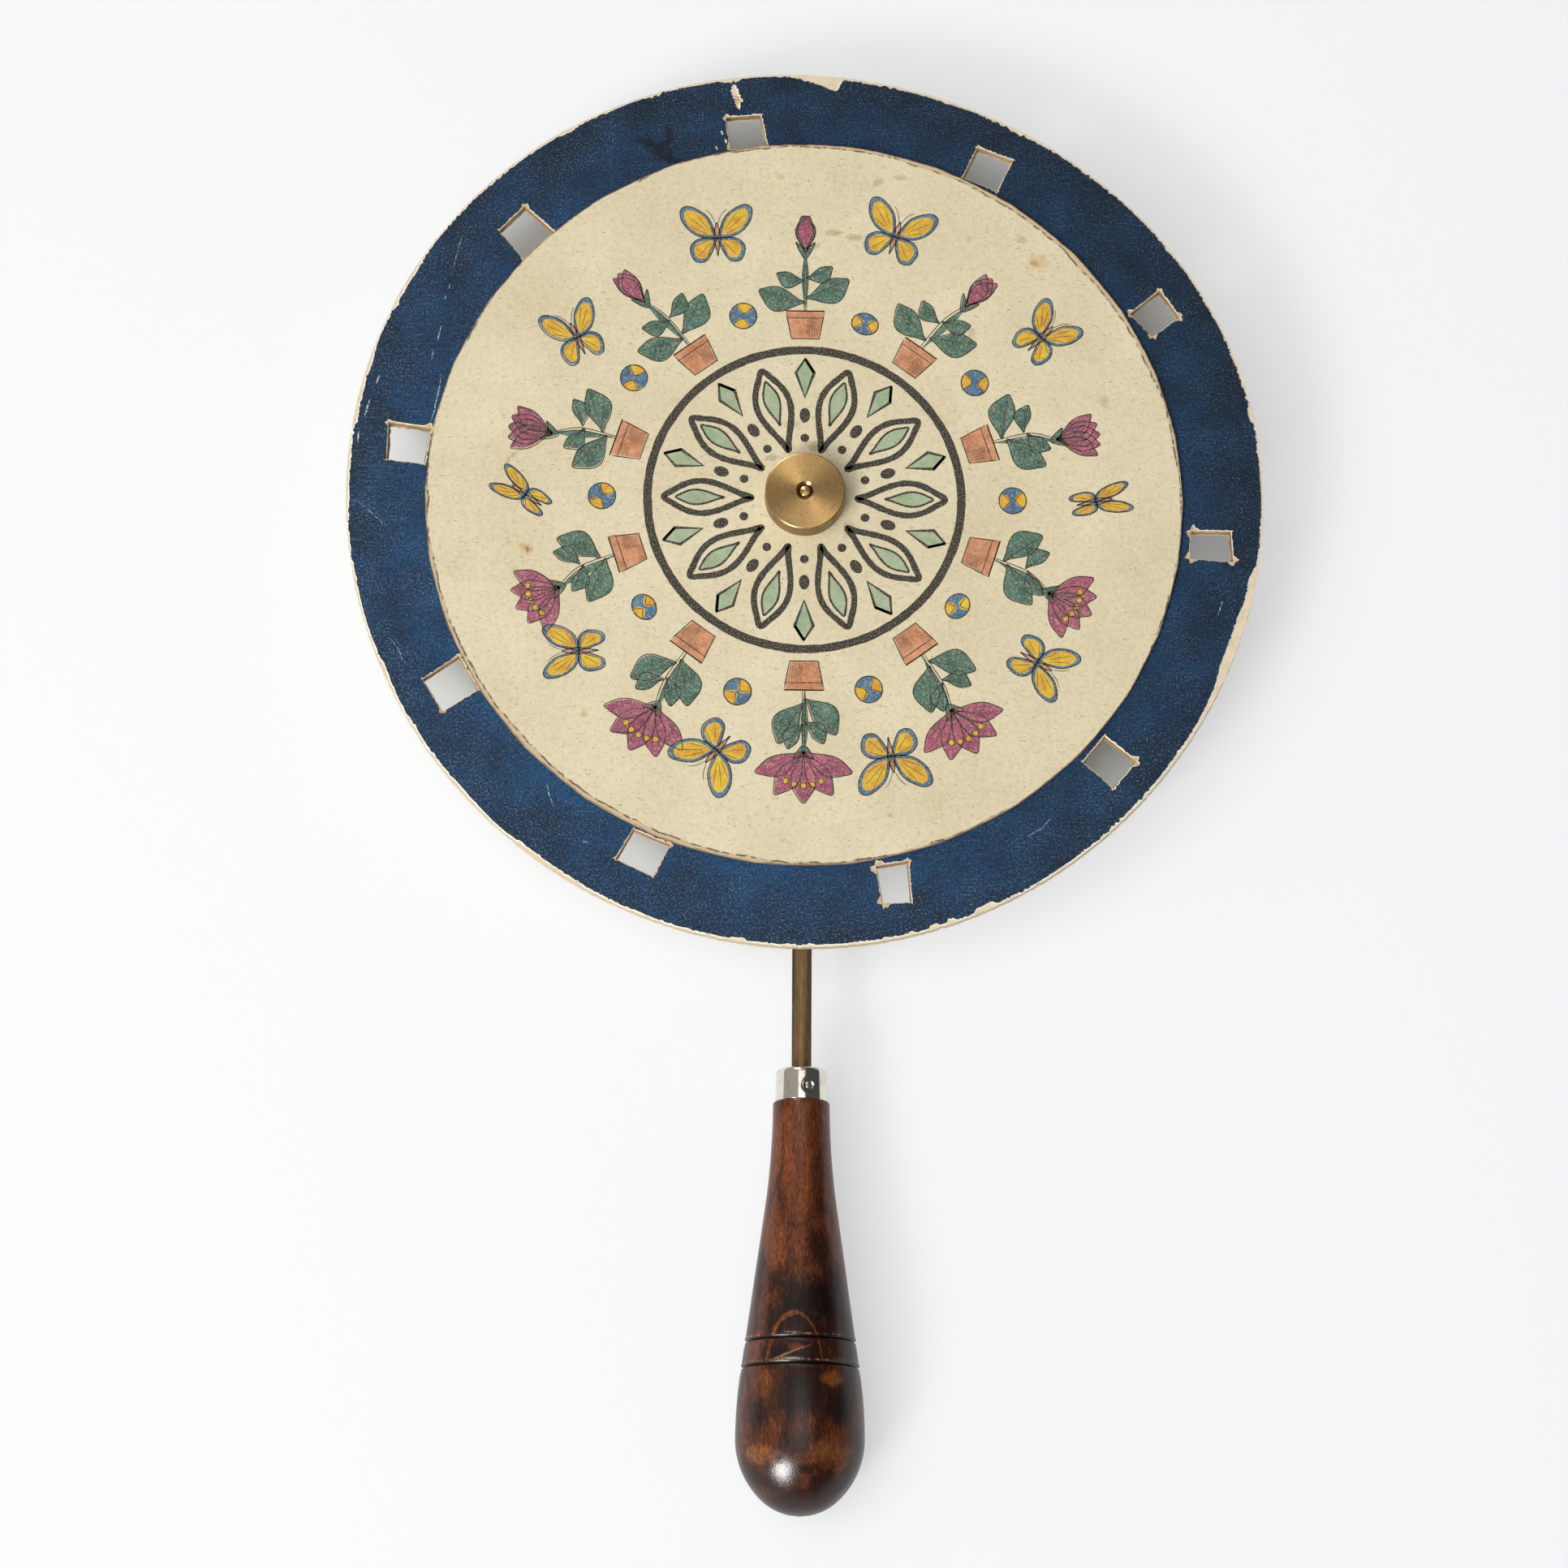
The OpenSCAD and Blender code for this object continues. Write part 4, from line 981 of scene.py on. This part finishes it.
def blade(base, tip, width, bow=0.0, steps=7):
    """The outline of a leaf or petal from its base to its tip, fattest past the middle."""
    a, b = Vector(base), Vector(tip)
    way = b - a
    side = Vector((-way.y, way.x)).normalized()
    spine = [a + way * (i / steps) + side * bow * math.sin(math.pi * i / steps) for i in range(steps + 1)]
    girth = [width / 2 * math.sin(math.pi * (i / steps) ** 1.25) for i in range(steps + 1)]
    return ([p + side * g for p, g in zip(spine, girth)]
            + [p - side * g for p, g in zip(spine, girth)][-2:0:-1])


def draw(k, points, stand, width=0.34, closed=False, taper=0.45, smooth=True):
    """One stroke of black ink, thinner at its ends."""
    if smooth:
        points = smooth_line(points, closed)
    if closed:
        points = points + points[:2]
    lines.append(([place(k, p, stand) for p in points], width, 0.0 if closed else taper))


def colour_in(k, colour, points, stand, slip=(0.0, 0.0), smooth=True):
    """One patch of watercolour, slipped a little off its outline."""
    if smooth:
        points = smooth_line(points, True, 4)
    washes[colour].append([place(k, (x + slip[0], y + slip[1]), stand) for x, y in points])


def shape(k, colour, points, stand, width, slip=(0.0, 0.0), smooth=True):
    """A patch of watercolour with its ink outline."""
    colour_in(k, colour, points, stand, slip, smooth)
    draw(k, points, stand, width, closed=True, smooth=smooth)


def oval(wide, high, steps=12, middle=(0.0, 0.0)):
    """Points round an oval."""
    angles = [math.tau * i / steps for i in range(steps)]
    return [(middle[0] + wide * math.cos(q), middle[1] + high * math.sin(q)) for q in angles]


hand = random.Random(11)
for k in range(frames):
    phase = k / frames
    opening = 0.5 - 0.5 * math.cos(math.tau * phase)
    lean = math.radians(13 * math.sin(math.tau * phase))
    slip = (hand.uniform(-0.25, 0.25), hand.uniform(-0.2, 0.2))
    # pot
    stand = (47.6, 0, 0, 1.32)
    pot = [(-4.2, 6.6), (4.2, 6.6), (3.9, 5.0), (3.0, 0.2), (-3.0, 0.2), (-3.9, 5.0)]
    shape(k, "terracotta", pot, stand, 0.36, slip, smooth=False)
    draw(k, [(-4.0, 5.0), (4.0, 5.0)], stand, 0.3)
    for h in range(7):
        draw(k, [(0.6 + 0.42 * h, 4.6 - 0.1 * h), (0.5 + 0.34 * h, 0.7)], stand, 0.16)
    # the stem bends with the sway
    top = Vector((16 * math.sin(lean), 6.6 + 13.5 * math.cos(lean)))
    stem = [(0, 6.6), (5 * math.sin(lean * 0.6), 14.6), top]
    for aside in (-0.3, 0.3):
        draw(k, [(x + aside, y) for x, y in stem], stand, 0.28)
    colour_in(k, "green", blade((0, 6.2), top, 1.6), stand, slip)
    # two pairs of leaves that lift as the flower opens
    for side, start, long, wide in ((-1, 8.6, 10.2, 5.6), (1, 9.6, 10.2, 5.6),
                                    (-1, 13.6, 6.2, 3.6), (1, 14.2, 6.2, 3.6)):
        lift = math.radians(20 + 34 * opening + 5 * side)
        root = Vector((0.2 * side, start))
        reach = Vector((side * math.cos(lift), math.sin(lift))) * long
        leaf = blade(root, root + reach, wide, bow=-0.9 * side)
        shape(k, "green", leaf, stand, 0.32, slip)
        draw(k, [root, root + reach], stand, 0.22)
        droop = Vector((side * math.cos(lift - 0.9), math.sin(lift - 0.9) - 0.25)) * 0.17 * long
        for h in range(1, 8):
            u = h / 8.5
            fall = droop * math.sin(math.pi * u)
            draw(k, [root + reach * u, root + reach * u + fall], stand, 0.15)
    # petals: a tight bud of three, then a fan of five
    petals = 3 if opening < 0.2 else 5
    spread = (5 if petals == 3 else 10) + 56 * opening
    long = 8.6 + 2.6 * opening
    for i in sorted(range(petals), key=lambda i: -abs(i - petals // 2)):
        off = (i - petals // 2) / (petals // 2)
        tilt = math.radians(off * spread) + lean * 0.8
        way = Vector((math.sin(tilt), math.cos(tilt)))
        petal = blade(top, top + way * long, 4.4 + 0.9 * opening - 0.8 * abs(off), bow=0.6 * off)
        shape(k, "magenta", petal, stand, 0.30, slip)
        for h in (-1, 1) if opening > 0.3 else ():
            aside = Vector((way.y, -way.x)) * h
            draw(k, [top + way * 0.42 * long + aside * 0.3, top + way * 0.74 * long + aside * 0.9], stand, 0.15)
    cup = [(top.x - 2.1, top.y + 2.4 - opening), (top.x, top.y - 1.4), (top.x + 2.1, top.y + 2.4 - opening),
           (top.x, top.y + 1.0)]
    shape(k, "green", cup, stand, 0.3, slip)
    if opening > 0.4:
        for i in range(5):
            tilt = math.radians((i - 2) * 15) + lean * 0.8
            tip = (top.x + 0.66 * long * math.sin(tilt), top.y + 0.66 * long * math.cos(tilt))
            shape(k, "yellow", oval(0.62, 0.62, 6, tip), stand, 0.2)
    # a ball between the pots, blue with two yellow gores, bounces three times in a turn
    ball_r = 3.5
    bounce = abs(math.sin(math.pi * 3 * phase + 0.3))
    flat = 1 - 0.16 * (bounce < 0.35)
    stand = (53.2 + 7.0 * bounce, 18, 0, 1.1)
    colour_in(k, "blue", oval(ball_r, ball_r * flat, 14), stand, slip)
    gore = [p for p in oval(ball_r, ball_r * flat, 48) if p[0] > 2.6]
    gore.sort(key=lambda p: p[1])
    for half in (0, 180):
        rolled = (stand[0], 18, 47 * k + half, 1.1)
        colour_in(k, "yellow", gore + [(0.9, 1.0), (0.7, 0), (0.9, -1.0)], rolled, slip)
        draw(k, [gore[0], (0.75, 0), gore[-1]], rolled, 0.26)
    draw(k, oval(ball_r, ball_r * flat, 14), stand, 0.36, closed=True)
    # a butterfly outside, its wings beating
    beat = 0.40 + 0.60 * abs(math.cos(math.pi * phase * 2 + 0.35))
    heading = 24 * math.sin(math.tau * phase + 0.5) - 12
    stand = (80.5 + 3.0 * math.sin(math.tau * phase + 1.2), 18, heading, 1.22)
    fore = [(0.4, 1.2), (2.2, 5.6), (6.3, 8.3), (8.6, 7.4), (8.0, 4.0), (5.0, 1.0), (0.5, 0.0)]
    hind = [(0.5, 0.2), (4.6, 0.0), (6.6, -2.2), (5.6, -5.4), (3.0, -5.6), (1.2, -3.0), (0.4, -0.8)]
    for side in (-1, 1):
        for wing, inner in ((hind, 0.74), (fore, 0.78)):
            spread = [(side * x * beat, y) for x, y in wing]
            middle = sum((Vector(p) for p in spread), Vector((0, 0))) / len(spread)
            shape(k, "blue", spread, stand, 0.34, slip)
            colour_in(k, "yellow", [middle + (Vector(p) - middle) * inner for p in spread], stand)
            root = Vector((side * 0.5 * beat, 0.3))
            for tip in spread[1:5]:
                draw(k, [root.lerp(Vector(tip), 0.25), root.lerp(Vector(tip), 0.78)], stand, 0.17)
        draw(k, [(0.2 * side, 3.7), (1.2 * side, 6.0), (2.5 * side, 7.4)], stand, 0.2)
    shape(k, "terracotta", blade((0, -4.4), (0, 4.0), 1.5), stand, 0.34)

# centre: a heavy ring, ten long petals inside it and small marks between
ring_r, ring_w = 44.4, 2.4
lines.append(([polar(ring_r + 0.10 * rough(polar(40, a), 5, 90.0), a) for a in range(0, 362, 2)], ring_w, 0.0))
for k in range(frames):
    stand, between = (ring_r, 0, 0, 1), (ring_r, 18, 0, 1)
    draw(k, blade((0, -29.5), (0, -4.6), 9.6, steps=9), between, 1.75, closed=True)
    shape(k, "pale_green", blade((0, -21.6), (0, -8.0), 4.4, steps=8), between, 0.6)
    shape(k, "pale_green", [(0, -2.6), (2.6, -6.8), (0, -14.2), (-2.6, -6.8)], stand, 0.95, smooth=False)
    for wide, high, down in ((1.5, 2.2, -19.6), (1.25, 1.25, -26.4)):
        lines.append(([place(k, p, stand) for p in oval(wide, high, 20, (0.0, down))], -1, 0.0))


def flat_patch(bm, loop, height):
    """Fills one closed outline as a flat patch that faces the front."""
    verts = [bm.verts.new((x * mm, y * mm, height * mm)) for x, y in loop]
    edges = [bm.edges.new(pair) for pair in zip(verts, verts[1:] + verts[:1])]
    bmesh.ops.triangle_fill(bm, use_beauty=True, use_dissolve=False, edges=edges, normal=(0, 0, 1))


# Watercolour: thin colour that lets the paper's tooth through, darker where it settled
tints = {"green": ("#527868", "#35594d"), "magenta": ("#ad566f", "#86405a"), "yellow": ("#e3bb26", "#cc8f24"),
         "blue": ("#4f7895", "#365d7c"), "pale_green": ("#a7b696", "#8fa37f"), "terracotta": ("#d8966e", "#b06f4a")}
for step, (colour, loops) in enumerate(washes.items()):
    bm = bmesh.new()
    for n, loop in enumerate(loops):
        flat_patch(bm, loop, wash_z + 0.002 * step + 0.0002 * (n % 7))
    facing_front(bm)
    wash = piece_of("wash_" + colour, bm)
    watercolour, t, mil = new_material("watercolour_" + colour)
    tooth = lumps(t, mil, 0.5, 4.0, 0.7)
    settled = lumps(t, mil, 3.2, 4.0, 0.6)
    light, deep = tints[colour]
    tone = tint(t, paint(light), settled, 0.35, 0.65, 1.0, deep)
    tone = tint(t, tone, tooth, 0.50, 0.70, 0.6, "#d9cca9")
    dry_surface(t, tone, 0.85, 0.25)
    wash.data.materials.append(watercolour)
    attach(wash, "picture_set")

# Printer's ink: black gone a little brown, broken by the paper's tooth in the wide lines
bm = bmesh.new()
for points, width, taper in lines:
    if width < 0:
        flat_patch(bm, points, ink_z)
    else:
        stroke(bm, points, width, taper, ink_z)
facing_front(bm)
ink_work = piece_of("printed_lines", bm)
black_ink, t, mil = new_material("printing_ink")
tooth = lumps(t, mil, 0.42, 4.0, 0.75)
tone = tint(t, paint("#25211c"), tooth, 0.51, 0.66, 0.85, "#a3987c")
dry_surface(t, tone, 0.7, 0.3)
ink_work.data.materials.append(black_ink)
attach(ink_work, "picture_set")


# Nut: a plain round of brass, faced and chamfered on the lathe, with a countersunk thread.
# It is tightened with the fingers and clamps both discs on the spindle.
nut_r, nut_top, chamfer, sink_r, sink_t, nut_hole_r = 11.25, 8.2, 0.4, 2.7, 0.8, 1.95
profile = [(nut_hole_r, print_top), (nut_r - chamfer - 0.05, print_top)]
profile += arc((nut_r - chamfer, print_top + chamfer), chamfer, -85, 0, 5)
profile += [(nut_r, print_top + 1.2), (nut_r - 0.015, print_top + 3.5), (nut_r, nut_top - chamfer - 0.1)]
profile += arc((nut_r - chamfer, nut_top - chamfer), chamfer, 5, 85, 5)
# the face was turned from the rim in, and the tool left it very slightly hollow
profile += [(nut_r - chamfer - 0.1 - i * 0.42, nut_top - 0.004 - 0.002 * (i % 3)) for i in range(19)]
profile += [(sink_r + 0.05, nut_top - 0.004), (sink_r, nut_top - 0.04), (sink_r - 0.3, nut_top - 0.36),
            (nut_hole_r, nut_top - sink_t), (nut_hole_r, print_top)]
nut = piece_of("turned_round_nut", lathe(profile, 160), 24)
nut.data.materials.append(turned_brass)
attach(nut, "nut")
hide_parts("clamp_nut")


# Table: plain white board. The toy lies on its bulb, and something out of sight holds the disc
# about 30 mm clear of the table, so that its shadow falls well to the upper right.
bpy.ops.mesh.primitive_plane_add(size=6)
table = bpy.context.object
table.name = "table"
fall_x, fall_y = -0.045, -0.031
table_z, bulb_y = -0.0234, -0.263
lean_x = Matrix.Rotation(-math.atan(fall_x), 4, "Y")
lean_y = Matrix.Rotation(math.atan(fall_y), 4, "X")
table.data.transform(Matrix.Translation((0, 0, table_z - bulb_y * fall_y)) @ lean_x @ lean_y)
white_board, t, mil = new_material("white_table")
# painted light: the camera and the metal see the open table lifted by a painted glow that makes
# its shadows paler, but not under the disc
from_disc = off_axis(t, mil, (1, 11))
painted_glow = add(t, "MapRange", {0: from_disc, 1: 127.0, 2: 133.0, 3: 0.0, 4: 0.55})
painted_rim_glow = add(t, "MapRange", {0: from_disc, 1: 113.0, 2: 124.0, 3: 0.0, 4: 0.15})
painted_glow = add(t, "Math", {0: painted_glow, 1: painted_rim_glow}, operation="MAXIMUM")
# painted light: patches of glow under the rim at the near side and the sides, where light comes in
still = lumps(t, mil, 40, 1.0, 0.5)
for x, y, r, strength in ((25, -108, 34, 0.44), (124, 4, 26, 0.15), (-60, -95, 34, 0.34), (-116, 14, 28, 0.36),
                          (54, 98, 24, 0.12)):
    painted_glow = add(t, "Math", {0: painted_glow, 1: patch(t, mil, (x, y, 0), (r, r, 1000), still, strength)}, operation="MAXIMUM")
paths = add(t, "LightPath").node
seen = add(t, "Math", {0: paths.outputs["Is Camera Ray"], 1: paths.outputs["Is Glossy Ray"]}, operation="MAXIMUM")
seen = add(t, "Math", {0: seen, 1: paths.outputs["Is Transmission Ray"]}, operation="MAXIMUM")
painted_glow = add(t, "Math", {0: painted_glow, 1: seen}, operation="MULTIPLY")
# the painted glow is a little brighter to the left
level = add(t, "MapRange", {0: add(t, "SeparateXYZ", {0: mil}, out=0), 1: -260.0, 2: 260.0, 3: 0.975, 4: 0.93})
# painted shade: the table is darker and bluer under the disc
white = add(t, "Mix", {0: add(t, "MapRange", {0: from_disc, 1: 108.0, 2: 133.0, 3: 0.0, 4: 1.0}),
                       6: (0.79, 0.84, 0.90, 1), 7: (0.935, 0.955, 0.985, 1)})
matt = add(t, "BsdfPrincipled", {"Base Color": white, "Roughness": 1.0, "Specular IOR Level": 0.0})
glow = add(t, "Emission", {0: (1.0, 1.0, 1.0, 1.0), 1: level})
add(t, "OutputMaterial", {0: add(t, "MixShader", {0: painted_glow, 1: matt, 2: glow})})
table.data.materials.append(white_board)


# Light: a soft box overhead on the left, a pale room on the left and a dark one on the right,
# cooler light from the near side, and one lamp from the lower left that casts the shadows
# and lights the tip of the bulb.
world = bpy.data.worlds.new("studio")
bpy.context.scene.world = world
world.use_nodes = True
t = world.node_tree
t.nodes.clear()
way = add(t, "SeparateXYZ", {0: add(t, "TexCoord", out=0)}).node
dark = add(t, "MapRange", {0: way.outputs[0], 1: -0.15, 2: 0.45, 3: 0.0, 4: 1.0}, interpolation_type="SMOOTHSTEP")
near = add(t, "MapRange", {0: way.outputs[1], 1: 0.5, 2: -0.6, 3: 0.0, 4: 1.0}, interpolation_type="SMOOTHSTEP")
left_room = add(t, "Mix", {0: near, 6: (0.42, 0.395, 0.355, 1.0), 7: (0.50, 0.54, 0.59, 1.0)})
right_room = add(t, "Mix", {0: near, 6: (0.065, 0.063, 0.062, 1.0), 7: (0.15, 0.165, 0.19, 1.0)})
room = add(t, "Mix", {0: dark, 6: left_room, 7: right_room})
# white behind the toy: the camera sees it everywhere, and metal where it meets the table
paths = add(t, "LightPath").node
skyline = add(t, "MapRange", {0: way.outputs[2], 1: 0.06, 2: 0.0, 3: 0.0, 4: 1.0})
seen = add(t, "Math", {0: paths.outputs["Is Glossy Ray"], 1: skyline}, operation="MULTIPLY")
for ray in ("Is Camera Ray", "Is Transmission Ray"):
    seen = add(t, "Math", {0: seen, 1: paths.outputs[ray]}, operation="MAXIMUM")
# and the varnish finds the near side of the room dimmer than the paper does
shy = add(t, "Math", {0: paths.outputs["Is Glossy Ray"], 1: near}, operation="MULTIPLY")
shy = add(t, "MapRange", {0: shy, 1: 0.0, 2: 1.0, 3: 1.0, 4: 0.45})
room = times(t, room, shy)
room = add(t, "Mix", {0: seen, 6: room, 7: (1.0, 1.0, 1.0, 1.0)})
add(t, "OutputWorld", {0: add(t, "Background", {0: room, 1: 1.0})})

key = bpy.data.lights.new("key", "SUN")
key.energy = 1.15
key.angle = 0.28
key.color = (1.0, 0.985, 0.96)
key_lamp = bpy.data.objects.new("key", key)
key_lamp.visible_glossy = False
key_lamp.rotation_euler = Vector((-0.48, -0.575, 0.665)).to_track_quat("Z", "Y").to_euler()
bpy.context.collection.objects.link(key_lamp)

# the overhead box lights the toy; the others are seen only by metal and varnish
for name, aim, distance, size, watts, hue, sheen_only in (
        ("box_fill", (-0.35, -0.28, 1.0), 1.5, (1.2, 1.2), 13.4, (1.0, 1.0, 1.0), False),
        ("box_strip", (0.0, -0.16, 1.0), 1.6, (0.86, 1.1), 4.2, (1.0, 0.99, 0.97), True),
        ("box_upper_left", (-0.27, 0.72, 0.64), 1.6, (0.5, 0.5), 17.0, (1.0, 0.97, 0.92), True),
        ("box_key", (-0.445, -0.765, 0.47), 1.6, (0.46, 0.62), 46.0, (1.0, 0.99, 0.97), True)):
    lamp = bpy.data.lights.new(name, "AREA")
    lamp.shape = "RECTANGLE"
    lamp.size, lamp.size_y = size
    lamp.energy = watts
    lamp.color = hue
    box = bpy.data.objects.new(name, lamp)
    aim = Vector(aim).normalized()
    box.location = aim * distance
    box.rotation_euler = aim.to_track_quat("Z", "Y").to_euler()
    box.visible_diffuse = not sheen_only
    box.visible_glossy = sheen_only
    bpy.context.collection.objects.link(box)


# Camera: the photograph was taken from above, a little from the handle's side.
lens = bpy.data.cameras.new("view")
photo_width, focal_length = 1932, 5000  # both in pixels
lens.sensor_width = 36
lens.lens = lens.sensor_width * focal_length / photo_width
lens.clip_start, lens.clip_end = 0.05, 20
camera = bpy.data.objects.new("view", lens)
camera.location = (-0.0290, -0.3634, 1.0918)
camera.rotation_euler = Euler((0.2511, -0.0230, 0.0052), "XYZ")
bpy.context.collection.objects.link(camera)
bpy.context.scene.camera = camera
bpy.context.scene.view_settings.view_transform = "Standard"
